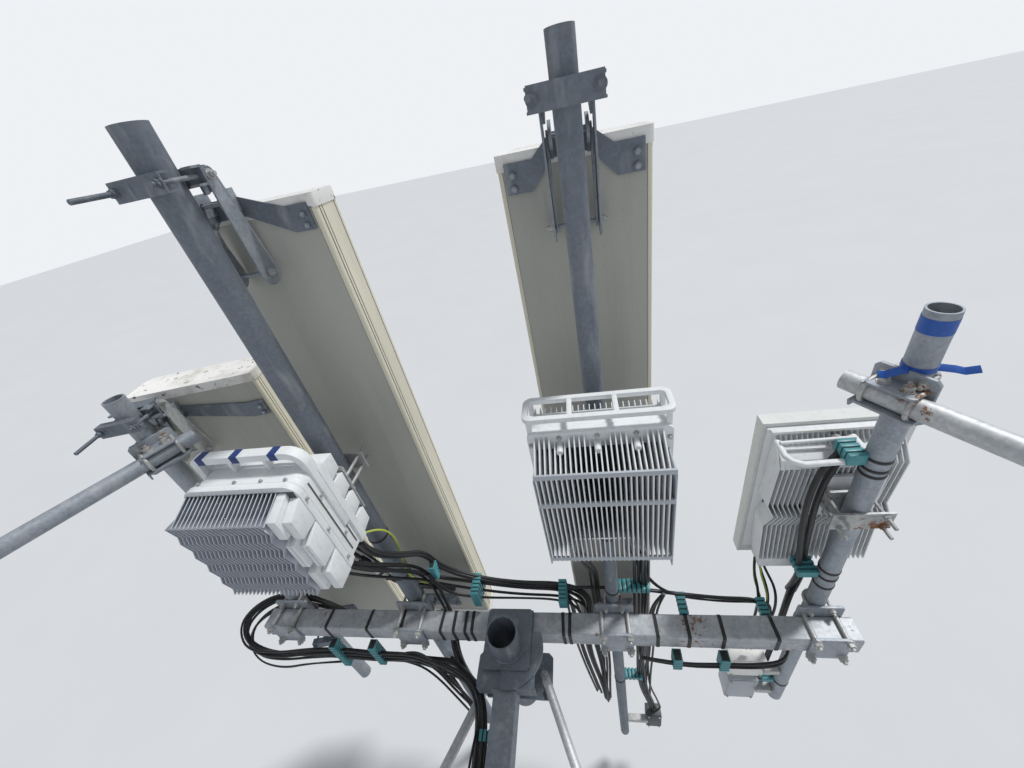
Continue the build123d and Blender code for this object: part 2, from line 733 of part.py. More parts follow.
def middle_radio():
    """The fluted radio before the middle mast: sloped fins with rails, body, ring handle, bracket."""
    x, y0 = middle_mast_x, middle_radio_y
    z0, z1 = middle_radio_bottom, middle_radio_top
    half = middle_radio_w / 2
    web_y = y0 + 100
    front = at(x, web_y, z0 + 5) * extrude(comb(2 * half - 10, 100, radio_fin, 13.4, 16), z1 - z0 - 5)
    slope = panel_yz(x, 3 * half, [(y0 - 10, z1 - 62), (web_y - 10, z1 + 8),
                                   (web_y - 10, z1 + 60), (y0 - 10, z1 + 60)])
    front = front - slope
    for z in (z0 + 5, z0 + 285):
        front = front + box(x - half + 4, x + half - 4, y0, y0 + 8, z, z + 10)
    body = box(x - half, x + half, web_y, y0 + 200, z0 - 10, z1)
    body = chamfer(body.edges().filter_by(Axis.Z), 10)
    ring_z = z1 + 38
    ring = box(x - half - 10, x + half + 10, y0 + 105, y0 + 210, ring_z - handle_bar / 2, ring_z + handle_bar / 2)
    ring = chamfer(ring.edges().filter_by(Axis.Z), 20)
    third = (2 * half - 40) / 3
    for i in range(3):
        left = x - half + 6 + i * (third + 14)
        ring = ring - box(left, left + third, y0 + 105 + handle_bar, y0 + 210 - handle_bar, z1, z1 + 100)
    for side in (-1, 1):
        for y in (y0 + 112, y0 + 184):
            post_x = x + side * (half - 16)
            ring = ring + box(post_x - 7, post_x + 7, y - 7, y + 7, z1 - 2, ring_z)
    bracket = radio_bracket(x, mast_y(pipe_r), pipe_r, y0 + 200, 1100, 110, 1)
    return {"middle_radio_fins": front, "middle_radio_body": body + ring, "middle_radio_bracket": bracket}


def active_antenna():
    """The active antenna on the right mast: a flat panel, its finned back and its bracket."""
    x0, x1, y0 = active_x0, active_x1, active_y
    z0, z1 = active_bottom, active_top
    panel = box(x0, x1, y0, y0 + 70, z0, z1)
    panel = chamfer(panel.edges().group_by(Axis.Y)[-1], 14)
    web = y0 - 14
    low, high = z0 + 80, z1 - 20
    sink = box(x0 + 20, x1 - 40, web, y0, low, high)
    fins = at((x0 + x1) / 2 - 10, web, low) * extrude(comb(x1 - x0 - 64, 86, radio_fin, 20, 2), high - low)
    fins = fins - panel_yz((x0 + x1) / 2, x1 - x0, [(web - 100, high - 120), (web - 10, high),
                                                    (web - 10, high + 9), (web - 100, high + 9)])
    sink = sink + fins + box(x0 + 40, x1 - 60, web - 76, web, low + 180, high - 150)
    grip = [(x0 + 10, y0 - 160, high - 30), (x0 + 150, y0 - 160, high + 30)]
    for x, y, z in grip:
        sink = sink + bar((x, y, z), (x + 12, web + 4, high - 60), 8, 6)
    sink = sink + bar(*grip, 8, 6)
    for points, _ in routes["cables_active"]:
        start, after = Vector(*points[0]), Vector(*points[1])
        sink = sink + bar(start, start + (start - after).normalized() * 60, gland_r, 6)
    radius = masts["right"][1]
    bracket = radio_bracket(right_mast_x, mast_y(radius), radius, web - 86, 700, 110, -1)
    return {"active_panel": panel, "active_fins": sink, "active_bracket": bracket}


def turn_radii(points):
    """The largest round that each corner of a route has room for."""
    runs = [Vector(*b) - Vector(*a) for a, b in zip(points, points[1:])]
    found = []
    for before, after in zip(runs, runs[1:]):
        half_turn = radians(before.get_angle(after)) / 2
        found.append(0.45 * min(before.length, after.length) / tan(half_turn))
    return found


def cable(points, r):
    """A cable of a few flat sides along a route with round corners."""
    path = FilletPolyline(*points, radius=turn_radii(points))
    start = Plane(origin=path @ 0, z_dir=path % 0)
    return sweep(start * RegularPolygon(r, cable_sides), path=path)


# Routes of the clipped cables. Each stays off the steel that it passes by a few millimetres.
routes = {
    "cables_far_side": [
        ([(-440, 1040, 840), (-440, 1040, 770), (-396, 1120, 620), (-376, 1250, 450), (-340, 1266, 290),
          (-166, 1264, 185), (50, 1250, 161), (258, 1266, 130), (380, 1276, 20), (372, 1280, -180),
          (376, 1268, -420), (404, 1240, -700), (402, 1214, -960), (408, 1220, -1200)], bundle_r),
        ([(-372, 1200, 330), (-345, 1204, 170), (-180, 1206, 112), (50, 1200, 122), (235, 1206, 104),
          (330, 1204, 40), (338, 1200, -120), (332, 1200, -360)], jumper_r),
        ([(560, 1290, 560), (610, 1275, 330), (699, 1262, 120), (816, 1256, 40), (997, 1246, 16),
          (1172, 1252, 4), (1244, 1270, -60), (1254, 1276, -300)], jumper_r),
    ],
    "cables_near_side": [
        ([(-1150, 1262, -60), (-1240, 1278, -50), (-1380, 1264, -14), (-1510, 1215, 16), (-1600, 1130, -10),
          (-1590, 1050, -110), (-1440, 1030, -200), (-1240, 1040, -190), (-1000, 1044, -205),
          (-768, 1040, -225), (-560, 1030, -165), (-400, 1000, -150)], bundle_r),
        ([(-1200, 1300, -170), (-1400, 1276, -110), (-1560, 1200, -90), (-1650, 1100, -150),
          (-1600, 1020, -270), (-1430, 1000, -310), (-1240, 1020, -270), (-1010, 1034, -262)], jumper_r),
        ([(600, 1040, -90), (760, 1034, -130), (960, 1040, -140), (1150, 1034, -120)], jumper_r),
    ],
    "cables_arm": [
        ([(-330, 1010, -110), (-230, 940, -60), (-120, 850, -36), (-84, 700, -30), (-80, 520, -34),
          (-84, 330, -30), (-80, 190, -36)], bundle_r),
        ([(-366, 985, -190), (-300, 930, -330), (-230, 860, -310), (-118, 790, -140), (-90, 650, -82),
          (-84, 480, -84), (-88, 300, -90)], jumper_r),
    ],
    "cables_masts": [
        ([(600, 1085, 885), (600, 1085, 810), (640, 1180, 640), (640, 1240, 420), (652, 1236, 180),
          (644, 1226, -60), (650, 1226, -300), (636, 1232, -560), (612, 1240, -820), (640, 1236, -1090),
          (690, 1238, -1300), (690, 1238, -1400)], bundle_r),
        ([(1300, 1266, 20), (1294, 1266, -200), (1302, 1270, -450), (1294, 1264, -760), (1302, 1266, -1000)],
         bundle_r),
    ],
    "cables_active": [
        ([(1316, 1330, 945), (1298, 1268, 972), (1232, 1240, 910), (1212, 1230, 780), (1226, 1230, 590),
          (1256, 1238, 400), (1296, 1256, 220), (1304, 1304, 30)], jumper_r),
        ([(1350, 1332, 930), (1316, 1280, 940), (1262, 1248, 862), (1246, 1236, 730), (1262, 1240, 540),
          (1290, 1262, 380), (1332, 1284, 200), (1330, 1300, 20)], jumper_r),
    ],
}


# Hangers as blocks between the steel and the cables: node whose cables run through, then two corners
tube_under = -tube_side / 2 - clear
mast_side = right_mast_x - masts["right"][1] - clear
hanger_blocks = [
    ("cables_far_side", (-186, face_far + clear, 92), (-146, 1288, 208)),
    ("cables_far_side", (242, face_far + clear, 86), (282, 1288, 150)),
    ("cables_far_side", (796, face_far + clear, 22), (836, 1276, 60)),
    ("cables_far_side", (1152, face_far + clear, -14), (1192, 1272, 22)),
    ("cables_near_side", (-1020, 1018, -282), (-980, face_near + 16, tube_under)),
    ("cables_near_side", (-788, 1018, -246), (-748, face_near + 16, tube_under)),
    ("cables_near_side", (740, 1016, -148), (780, face_near + 16, tube_under)),
    ("cables_near_side", (940, 1020, -158), (980, face_near + 16, tube_under)),
    ("cables_arm", (-106, 680, -50), (-tube_side / 2 - clear, 720, -10)),
    ("cables_arm", (-106, 330, -106), (-tube_side / 2 - clear, 370, -10)),
    ("cables_masts", (middle_mast_x + pipe_r + clear, 1204, 165), (676, 1256, 200)),
    ("cables_masts", (middle_mast_x + pipe_r + clear, 1206, -836), (634, 1260, -800)),
    ("cables_masts", (1274, 1206, -776), (mast_side, 1284, -740)),
    ("cables_active", (1256, 1206, 292), (mast_side, 1290, 328)),
    ("cables_active", (1276, 1206, 950), (mast_side, 1296, 994)),
]


def hangers():
    """The snap-in blocks that hold the cables off the steel."""
    solids = []
    for name, (x0, y0, z0), (x1, y1, z1) in hanger_blocks:
        block = box(x0, x1, y0, y1, z0, z1)
        for points, r in routes[name]:
            block = block - cable(points, r + clear)
        solids.append(block.solids().sort_by(SortBy.VOLUME)[-1])
    return solids


def junction_boxes():
    """The small boxes on the right and middle masts, each with its strap and bracket."""
    solids = []
    radius, foot = masts["right"][1], right_mast_top - outer_mast_len
    y = mast_y(radius)
    for x0, x1, z0, z1, chamfered in ((1088, 1266, 250, 430, 8), (1100, 1260, -60, 180, 6)):
        case = chamfer(box(x0, x1, y - 10, y + 100, foot + z0, foot + z1).edges(), chamfered)
        middle = foot + (max(z0, 0) + z1) / 2
        stem = box(x1 - 10, right_mast_x - radius - clear, y - 30, y + 20, middle - 20, middle + 20)
        solids.append(joined(case, stem))
    y, foot = mast_y(masts["middle"][1]), middle_mast_top - inner_mast_len
    case = chamfer(box(648, 748, y - 10, y + 60, foot + 160, foot + 360).edges(), 6)
    stem = box(middle_mast_x + masts["middle"][1] + clear, 658, y - 20, y + 20, foot + 240, foot + 280)
    solids.append(joined(case, stem))
    return solids


def build():
    nodes = {}
    nodes["tower_bracket"] = tower_bracket()
    nodes["standoff_arm"] = standoff_arm()
    nodes["arm_saddle"] = arm_saddle()
    nodes["post_collar"] = post_collar()
    nodes["centre_post"] = centre_post()
    nodes["face_tube"] = face_tube()
    nodes["strut_lug"] = strut_lug()
    nodes["strut_left"] = tie_back_strut(-1)
    nodes["strut_right"] = tie_back_strut(1)
    for name in masts:
        nodes["mast_" + name] = mast(name)
        nodes["crossover_" + name] = crossover(name)
    nodes["tie_pipe_left"] = tie_pipe(-1)
    nodes["tie_pipe_right"] = tie_pipe(1)
    nodes["tie_clamp_left"] = tie_clamp(-1)
    nodes["tie_clamp_right"] = tie_clamp(1)
    for name in antennas:
        nodes[name + "_radome"] = turned(name, antenna_radome(name))
        nodes[name + "_back"] = turned(name, antenna_back(name))
        caps = (antenna_cap(name, top) for top in (True, False))
        nodes[name + "_end_caps"] = apart(*(turned(name, cap) for cap in caps))
        nodes[name + "_mast_clamps"] = apart(turned(name, upper_clamp(name)), turned(name, lower_clamp(name)))
        nodes[name + "_upper_links"] = turned(name, upper_links(name))
        nodes[name + "_lower_links"] = turned(name, lower_links(name))
        nodes[name + "_tilt_plates"] = apart(turned(name, ear_plate(name)), turned(name, hinge_plate(name)))
    nodes.update(left_radio())
    nodes.update(middle_radio())
    nodes.update(active_antenna())
    for name, cables in routes.items():
        nodes[name] = apart(*[cable(points, r) for points, r in cables])
    nodes["hangers"] = apart(*hangers())
    nodes["junction_boxes"] = apart(*junction_boxes())
    return nodes


if __name__ == "__main__":
    os.makedirs("parts", exist_ok=True)
    for node, shape in build().items():
        export_step(shape, f"parts/{node}.step")
    for name in antennas:
        a0, b0 = link_angles(name, 0)
        a1, b1 = link_angles(name, tilt_limit)
        print(name, "links turn", a1 - a0, (b1 - b0), "over", tilt_limit)
    for name, cables in routes.items():
        for points, r in cables:
            print(name, "corner radii", [round(radius) for radius in turn_radii(points)])
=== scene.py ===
import math
import random

import bmesh
import bpy
from mathutils import Matrix, Vector


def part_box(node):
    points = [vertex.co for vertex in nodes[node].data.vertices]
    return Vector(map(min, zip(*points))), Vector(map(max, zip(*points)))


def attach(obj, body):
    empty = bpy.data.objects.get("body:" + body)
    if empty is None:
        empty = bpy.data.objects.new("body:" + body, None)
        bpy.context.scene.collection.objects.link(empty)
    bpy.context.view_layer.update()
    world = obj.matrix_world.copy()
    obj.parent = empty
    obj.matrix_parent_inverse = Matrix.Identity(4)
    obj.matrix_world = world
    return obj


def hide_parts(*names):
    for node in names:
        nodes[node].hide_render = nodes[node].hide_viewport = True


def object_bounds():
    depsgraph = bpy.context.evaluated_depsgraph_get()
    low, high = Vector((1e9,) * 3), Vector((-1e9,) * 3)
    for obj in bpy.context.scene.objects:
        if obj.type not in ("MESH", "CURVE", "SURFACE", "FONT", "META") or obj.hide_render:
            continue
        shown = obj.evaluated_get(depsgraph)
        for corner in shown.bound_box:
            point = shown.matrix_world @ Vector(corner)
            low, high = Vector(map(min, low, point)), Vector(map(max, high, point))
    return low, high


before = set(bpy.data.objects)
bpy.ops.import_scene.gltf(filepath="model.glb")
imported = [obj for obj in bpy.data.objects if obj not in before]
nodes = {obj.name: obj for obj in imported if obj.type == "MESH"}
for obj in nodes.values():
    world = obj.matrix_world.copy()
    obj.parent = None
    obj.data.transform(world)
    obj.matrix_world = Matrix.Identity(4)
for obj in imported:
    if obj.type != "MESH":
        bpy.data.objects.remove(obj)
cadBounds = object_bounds()
print("stage: frame loaded")


# Shader helpers

class Wire:
    # one output socket, with the operators that the looks use
    def __init__(self, look, socket):
        self.look = look
        self.socket = socket

    def __add__(self, other):
        return self.look.math("ADD", self, other)

    def __radd__(self, other):
        return self.look.math("ADD", other, self)

    def __rsub__(self, other):
        return self.look.math("SUBTRACT", other, self)

    def __mul__(self, other):
        return self.look.math("MULTIPLY", self, other)


class Look:
    # a material whose nodes are made by expressions
    def __init__(self, name):
        self.material = bpy.data.materials.new(name)
        self.material.use_nodes = True
        self.tree = self.material.node_tree
        self.shader = self.tree.nodes["Principled BSDF"]
        self.place = Wire(self, self.tree.nodes.new("ShaderNodeTexCoord").outputs["Object"])

    def feed(self, node, sockets):
        for key, value in sockets.items():
            socket = node.inputs[key]
            if isinstance(value, Wire):
                self.tree.links.new(value.socket, socket)
            else:
                socket.default_value = value

    def node(self, kind, settings=None, sockets=None, out=0):
        made = self.tree.nodes.new(kind)
        for key, value in (settings or {}).items():
            if key == "stops":
                ramp = made.color_ramp
                ramp.elements[0].position, ramp.elements[0].color = value[0]
                ramp.elements[1].position, ramp.elements[1].color = value[-1]
                for spot, colour in value[1:-1]:
                    ramp.elements.new(spot).color = colour
            else:
                setattr(made, key, value)
        self.feed(made, sockets or {})
        return Wire(self, made.outputs[out])

    def math(self, operation, a, b):
        return self.node("ShaderNodeMath", {"operation": operation}, {0: a, 1: b})

    def noise(self, scale, detail, stretch=(1, 1, 1), rough=0.55):
        place = self.node("ShaderNodeMapping", None, {"Vector": self.place, "Scale": stretch})
        return self.node("ShaderNodeTexNoise", None, {
            "Vector": place, "Scale": scale, "Detail": detail, "Roughness": rough})

    def cells(self, scale):
        made = self.node("ShaderNodeTexVoronoi", None, {"Vector": self.place, "Scale": scale}, "Color")
        return self.node("ShaderNodeSeparateColor", None, {0: made})

    def ramp(self, wire, *stops):
        full = [(spot, (*(colour if isinstance(colour, tuple) else (colour,) * 3), 1)) for spot, colour in stops]
        return self.node("ShaderNodeValToRGB", {"stops": full}, {"Fac": wire})

    def mix(self, share, a, b):
        colour = [value if isinstance(value, Wire) else (*value, 1) for value in (a, b)]
        return self.node("ShaderNodeMix", {"data_type": "RGBA"}, {0: share, 6: colour[0], 7: colour[1]}, 2)

    def bump(self, height, distance, strength):
        return self.node("ShaderNodeBump", None, {"Height": height, "Distance": distance, "Strength": strength})

    def set(self, **sockets):
        self.feed(self.shader, {key.replace("_", " "): value for key, value in sockets.items()})
        return self.material


def steelLook(name, pale, dark, rust, scale=1.0):
    look = Look(name)
    spangle = look.cells(110 * scale)
    cloud = look.noise(9, 4.0)
    fine = look.noise(260, 2.0)
    tone = look.ramp(cloud * 0.55 + spangle * 0.25 + fine * 0.2, (0.3, dark), (0.7, pale))
    # rust comes in small spots where two noises agree
    spots = look.ramp(look.noise(38, 5.0, rough=0.7) * look.noise(4, 2.0), (rust, 0.0), (rust + 0.05, 1.0))
    rustTone = look.ramp(look.noise(120, 3.0), (0.3, (0.16, 0.06, 0.025)), (0.7, (0.31, 0.18, 0.09)))
    chalk = look.ramp(look.noise(22, 4.0, (1, 1, 0.25)), (0.54, 0.0), (0.75, 0.35))
    base = look.mix(chalk, tone, (0.60, 0.61, 0.61))
    base = look.mix(spots, base, rustTone)
    return look.set(Base_Color=base, Metallic=0.45 - spots * 0.4, Roughness=0.46 + fine * 0.2 + spots * 0.2,
                    Normal=look.bump(fine + spangle * 0.4, 0.0006, 0.35))


def creamLook(name, cream, grime, streak=0.5):
    look = Look(name)
    wash = look.noise(3.2, 4.0, (1, 1, 0.35))
    streaks = look.noise(30, 4.0, (1, 1, 0.05))
    specks = look.ramp(look.noise(240, 2.0), (0.68, 0.0), (0.74, 0.6))
    tone = look.mix(look.ramp(wash, (0.35, 0.0), (0.75, 1.0)), cream, grime)
    tone = look.mix(look.ramp(streaks, (0.52, 0.0), (0.8, streak)), tone, tuple(c * 0.72 for c in grime))
    tone = look.mix(specks, tone, (0.16, 0.14, 0.10))
    fine = look.noise(420, 2.0)
    return look.set(Base_Color=tone, Roughness=0.52 + fine * 0.15, Normal=look.bump(fine, 0.0003, 0.3))


def paintLook(name, tone, dirt, amount):
    look = Look(name)
    cloud = look.noise(14, 4.0)
    dust = look.ramp(look.noise(55, 4.0, (1, 1, 0.4)), (0.55, 0.0), (0.78, amount))
    base = look.mix(look.ramp(cloud, (0.3, 0.0), (0.7, 0.35)), tone, tuple(c * 0.82 for c in tone))
    base = look.mix(dust, base, dirt)
    fine = look.noise(900, 1.0)
    return look.set(Base_Color=base, Roughness=0.48 + fine * 0.15, Normal=look.bump(fine, 0.0002, 0.3))


def plasticLook(name, tone, rough, wear=0.15):
    look = Look(name)
    scuff = look.ramp(look.noise(70, 4.0), (0.55, 0.0), (0.8, wear))
    base = look.mix(scuff, tone, tuple(min(1.0, c + 0.22) for c in tone))
    fine = look.noise(500, 2.0)
    return look.set(Base_Color=base, Roughness=rough + scuff * 0.6, Normal=look.bump(fine, 0.0002, 0.25))


def capLook(name):
    look = Look(name)
    blotch = look.ramp(look.noise(7, 6.0, rough=0.65), (0.52, 0.0), (0.68, 0.7))
    specks = look.ramp(look.noise(42, 5.0), (0.62, 0.0), (0.68, 0.9))
    tone = look.mix(blotch, (0.84, 0.83, 0.80), (0.50, 0.47, 0.41))
    tone = look.mix(specks, tone, (0.10, 0.085, 0.07))
    return look.set(Base_Color=tone, Roughness=0.62, Normal=look.bump(specks, 0.0008, 0.4))


looks = {
    "steel": steelLook("galvanised_steel", (0.40, 0.43, 0.47), (0.28, 0.31, 0.35), 0.41),
    "steelWorn": steelLook("galvanised_worn", (0.50, 0.52, 0.54), (0.34, 0.36, 0.39), 0.335, 0.6),
    "steelDark": steelLook("galvanised_shaded", (0.205, 0.232, 0.268), (0.155, 0.178, 0.21), 0.43),
    # the standoff arm: a darker copy of galvanised steel as painted shade, the arm sitting mostly in shadow; its
    # rust spots are real
    "steelArmShaded": steelLook("galvanised_arm", (0.30, 0.33, 0.37), (0.21, 0.235, 0.27), 0.325, 0.6),
    "steelPale": steelLook("galvanised_pale", (0.66, 0.67, 0.67), (0.46, 0.48, 0.50), 0.37),
    "zinc": steelLook("zinc_hardware", (0.62, 0.62, 0.60), (0.36, 0.36, 0.36), 0.36, 2.0),
    "rustEdge": steelLook("galvanised_rust_edge", (0.50, 0.50, 0.49), (0.36, 0.37, 0.38), 0.315, 0.8),
    "cream": creamLook("radome_cream", (0.76, 0.72, 0.58), (0.62, 0.59, 0.48)),
    # the antenna's back: the radome's cream painted darker and greyer as shade, since the back faces away from
    # the key light; its streaks and specks are real grime
    "back": creamLook("antenna_back_shaded", (0.46, 0.46, 0.41), (0.38, 0.385, 0.35), 0.3),
    "cap": capLook("end_cap_dirty_white"),
    "radio": paintLook("radio_paint", (0.80, 0.82, 0.83), (0.42, 0.40, 0.36), 0.35),
    "radioGrey": paintLook("radio_paint_grey", (0.44, 0.47, 0.51), (0.36, 0.35, 0.32), 0.35),
    "radioShade": paintLook("radio_paint_shaded", (0.50, 0.535, 0.59), (0.36, 0.36, 0.36), 0.35),
    "panel": paintLook("panel_paint", (0.72, 0.73, 0.71), (0.45, 0.43, 0.38), 0.3),
    "black": plasticLook("cable_jacket", (0.018, 0.018, 0.020), 0.42),
    "blackTie": plasticLook("tie_black", (0.02, 0.02, 0.02), 0.55),
    "teal": plasticLook("hanger_teal", (0.06, 0.27, 0.30), 0.4, 0.35),
    "blue": plasticLook("tape_blue", (0.02, 0.10, 0.42), 0.5, 0.2),
    "navy": plasticLook("tape_navy", (0.008, 0.035, 0.17), 0.55, 0.2),
    "yellow": plasticLook("tape_yellow", (0.75, 0.50, 0.02), 0.5, 0.2),
    "boxWhite": paintLook("box_white", (0.78, 0.78, 0.75), (0.45, 0.40, 0.33), 0.5),
    "boxDark": plasticLook("box_dark", (0.06, 0.065, 0.07), 0.5, 0.2),
    "seam": plasticLook("shadow_seam", (0.10, 0.10, 0.095), 0.6, 0.1),
    # a near-black sheet at the fins' roots: painted shade for the gaps between the fins, where the real web is
    # the radio's pale paint
    "finRootShade": plasticLook("fin_root_painted_shade", (0.075, 0.08, 0.088), 0.8, 0.1),
    "yellowGreen": plasticLook("earth_lead", (0.42, 0.50, 0.06), 0.45),
}
print("stage: looks made")


# Mesh helpers

slotOf = {"black": "cable_black", "blackTie": "cable_black", "teal": "hanger_teal", "cap": "radome_cream",
          **dict.fromkeys(("radio", "radioGrey", "radioShade", "finRootShade"), "radio_alloy")}
snug = 0.0004  # how far a fitted piece covers or clears the surface it lies on


def placed(name, data):
    obj = bpy.data.objects.new(name, data)
    bpy.context.scene.collection.objects.link(obj)
    return obj


def finish(obj, look, stands=(), angle=32, body="root"):
    # a smooth mesh in one look, on its body
    mesh = obj.data
    mesh.materials.clear()
    mesh.materials.append(looks[look])
    mesh.polygons.foreach_set("use_smooth", [True] * len(mesh.polygons))
    mesh.set_sharp_from_angle(angle=math.radians(angle))
    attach(obj, body)
    if stands:
        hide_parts(*stands)
    return obj


def baked(obj):
    # the evaluated object as a plain mesh, with no modifier left
    depsgraph = bpy.context.evaluated_depsgraph_get()
    mesh = bpy.data.meshes.new_from_object(obj.evaluated_get(depsgraph), depsgraph=depsgraph)
    name = obj.name
    bpy.data.objects.remove(obj)
    return placed(name, mesh)


def arc(cx, cy, r, start, end, steps):
    # points round a centre, from one angle to the other, both ends included
    turns = [start + (end - start) * i / steps for i in range(steps + 1)]
    return [(cx + r * math.cos(t), cy + r * math.sin(t)) for t in turns]


class Shape:
    # blocks, bars and plates gathered in one mesh
    def __init__(self):
        self.mesh = bmesh.new()

    def add(self, points, faces):
        verts = [self.mesh.verts.new(p) for p in points]
        for face in faces:
            self.mesh.faces.new([verts[i] for i in face])

    def prism(self, outline, origin, right, up, depth):
        # a flat outline in the right and up directions, given a depth along their normal
        right, up = Vector(right).normalized(), Vector(up).normalized()
        out = right.cross(up) * depth
        base = [Vector(origin) + right * x + up * y for x, y in outline]
        count = len(base)
        sides = [(i, (i + 1) % count, count + (i + 1) % count, count + i) for i in range(count)]
        area = sum(outline[i][0] * outline[(i + 1) % count][1] - outline[(i + 1) % count][0] * outline[i][1]
                   for i in range(count))
        lids = [tuple(range(count))[::-1], tuple(range(count, 2 * count))]
        faces = sides + lids
        if area * depth < 0:
            faces = [face[::-1] for face in faces]
        self.add(base + [p + out for p in base], faces)
        return self

    def box(self, low, high):
        (x0, y0, z0), (x1, y1, z1) = low, high
        return self.prism([(x0, y0), (x1, y0), (x1, y1), (x0, y1)], (0, 0, z0), (1, 0, 0), (0, 1, 0), z1 - z0)

    def flat(self, outline, y0, y1):
        # a plate in the XZ plane between two depths
        return self.prism(outline, (0, y1, 0), (1, 0, 0), (0, 0, 1), y1 - y0)

    def across(self, outline, x, depth):
        # a plate in the YZ plane
        return self.prism(outline, (x, 0, 0), (0, 1, 0), (0, 0, 1), depth)

    def hoop(self, outer, inner, low, high):
        # a ring in the XY plane between two outlines of the same count
        count = len(outer)
        faces = []
        for k in range(count):
            n = (k + 1) % count
            faces += [(2 * count + k, 2 * count + n, 3 * count + n, 3 * count + k), (k, count + k, count + n, n),
                      (k, n, 2 * count + n, 2 * count + k), (count + n, count + k, 3 * count + k, 3 * count + n)]
        self.add([(*p, z) for z in (low, high) for loop in (outer, inner) for p in loop], faces)
        return self

    def bar(self, a, b, r, sides=20, hollow=0.0):
        # a round bar or a pipe between two points
        a, b = Vector(a), Vector(b)
        way = (b - a).normalized()
        right = way.orthogonal().normalized()
        up = way.cross(right)
        turns = [2 * math.pi * i / sides for i in range(sides)]
        ring = [right * math.cos(t) + up * math.sin(t) for t in turns]
        if not hollow:
            return self.prism([(r * math.cos(t), r * math.sin(t)) for t in turns], a, right, up, (b - a).length)
        points = [a + p * r for p in ring] + [b + p * r for p in ring]
        points += [a + p * hollow for p in ring] + [b + p * hollow for p in ring]
        faces = []
        for i in range(sides):
            j = (i + 1) % sides
            faces += [(i, j, sides + j, sides + i), (2 * sides + j, 2 * sides + i, 3 * sides + i, 3 * sides + j),
                      (j, i, 2 * sides + i, 2 * sides + j), (sides + i, sides + j, 3 * sides + j, 3 * sides + i)]
        self.add(points, faces)
        return self

    def nut(self, centre, way, r, height, washer=0.0025):
        self.bar(centre, centre + way * washer, r * 1.25, 20)
        centre = centre + way * washer
        return self.bar(centre, centre + way * height, r, 6)

    def thread(self, a, b, r, pitch=0.0035):
        # a threaded rod as rings on a core
        a, b = Vector(a), Vector(b)
        way = (b - a).normalized()
        self.bar(a, b, r * 0.88, 12)
        count = int((b - a).length / pitch)
        for i in range(count):
            low = a + way * (i * pitch + pitch * 0.2)
            self.bar(low, low + way * pitch * 0.5, r, 12)
        return self

    def path(self, points, r, sides=10, flat=None):
        # a bar bent through points, with mitred turns; flat gives a second radius for straps
        points = [Vector(p) for p in points]
        first = (points[1] - points[0]).normalized()
        right = first.orthogonal().normalized()
        rings = []
        for i, p in enumerate(points):
            before = (points[i] - points[i - 1]).normalized() if i else first
            after = (points[i + 1] - points[i]).normalized() if i + 1 < len(points) else before
            way = (before + after).normalized()
            right = (right - way * right.dot(way)).normalized()
            up = way.cross(right)
            rings.append([p + right * (r * math.cos(2 * math.pi * k / sides))
                          + up * ((flat or r) * math.sin(2 * math.pi * k / sides)) for k in range(sides)])
        faces = []
        for i in range(len(rings) - 1):
            for k in range(sides):
                n = (k + 1) % sides
                faces.append((i * sides + k, i * sides + n, (i + 1) * sides + n, (i + 1) * sides + k))
        last = (len(rings) - 1) * sides
        faces += [tuple(range(sides))[::-1], tuple(last + k for k in range(sides))]
        self.add([p for ring in rings for p in ring], faces)
        return self

    def uBolt(self, centre, along, legs, r, rod, leg, seat):
        # a round U bolt about a pipe, with nuts and threaded ends
        centre, along, legs = Vector(centre), Vector(along).normalized(), Vector(legs).normalized()
        side = along.cross(legs)
        bend = r + rod
        points = [centre + side * bend + legs * leg]
        points += [centre + side * (bend * math.cos(t)) - legs * (bend * math.sin(t))
                   for t in [math.pi * i / 14 for i in range(15)]]
        points += [centre - side * bend + legs * leg]
        self.path(points, rod, 12)
        for sign in (-1, 1):
            foot = centre + side * (sign * bend) + legs * seat
            self.nut(foot, legs, rod * 1.75, rod * 1.6)
            self.thread(foot + legs * rod * 1.6, centre + side * (sign * bend) + legs * (leg + 0.001), rod * 1.06)
        return self

    def turned(self, matrix):
        bmesh.ops.transform(self.mesh, matrix=matrix, verts=self.mesh.verts)
        return self

    def piece(self, name, look, stands=(), bevel=0.0, angle=32, body="root", slot=None):
        bmesh.ops.recalc_face_normals(self.mesh, faces=self.mesh.faces)
        data = bpy.data.meshes.new(name)
        self.mesh.to_mesh(data)
        self.mesh.free()
        obj = placed(name, data)
        if bevel:
            edge = obj.modifiers.new("edge", "BEVEL")
            edge.width = bevel
            edge.segments = 2
            edge.limit_method = "ANGLE"
            edge.angle_limit = math.radians(50)
            obj = baked(obj)
        return finish(obj, look, stands, angle, body)


def blocks(name, look, spans, **rest):
    # a piece made of boxes, each by its low and high corner
    shape = Shape()
    for low, high in spans:
        shape.box(low, high)
    return shape.piece(name, look, **rest)


# Places that follow from the frame

masts = {}  # by name: the middle, the radius and the height of the top
for name in ("far_left", "left", "middle", "right"):
    low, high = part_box("mast_" + name)
    masts[name] = ((low + high) / 2, (high.x - low.x) / 2, high.z)
tubeLow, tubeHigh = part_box("face_tube")
print("stage: helpers ready")


# Camera and light

cameraPlan = {
    "place": (0.49, 0.20, 2.07),
    "right": (0.97657569, 0.10482778, -0.18791235),
    "up": (0.09603151, 0.56917413, 0.81658971),
    "back": (0.19255614, -0.81550717, 0.54577485),
    "lens": 13.887,
    "sensor": 36.0,
}


def makeCamera(plan):
    data = bpy.data.cameras.new("camera")
    data.lens = plan["lens"]
    data.sensor_width = plan["sensor"]
    data.sensor_fit = "HORIZONTAL"
    data.clip_start = 0.02
    camera = placed("camera", data)
    turn = Matrix((plan["right"], plan["up"], plan["back"])).transposed()
    camera.matrix_world = Matrix.Translation(plan["place"]) @ turn.to_4x4()
    bpy.context.scene.camera = camera


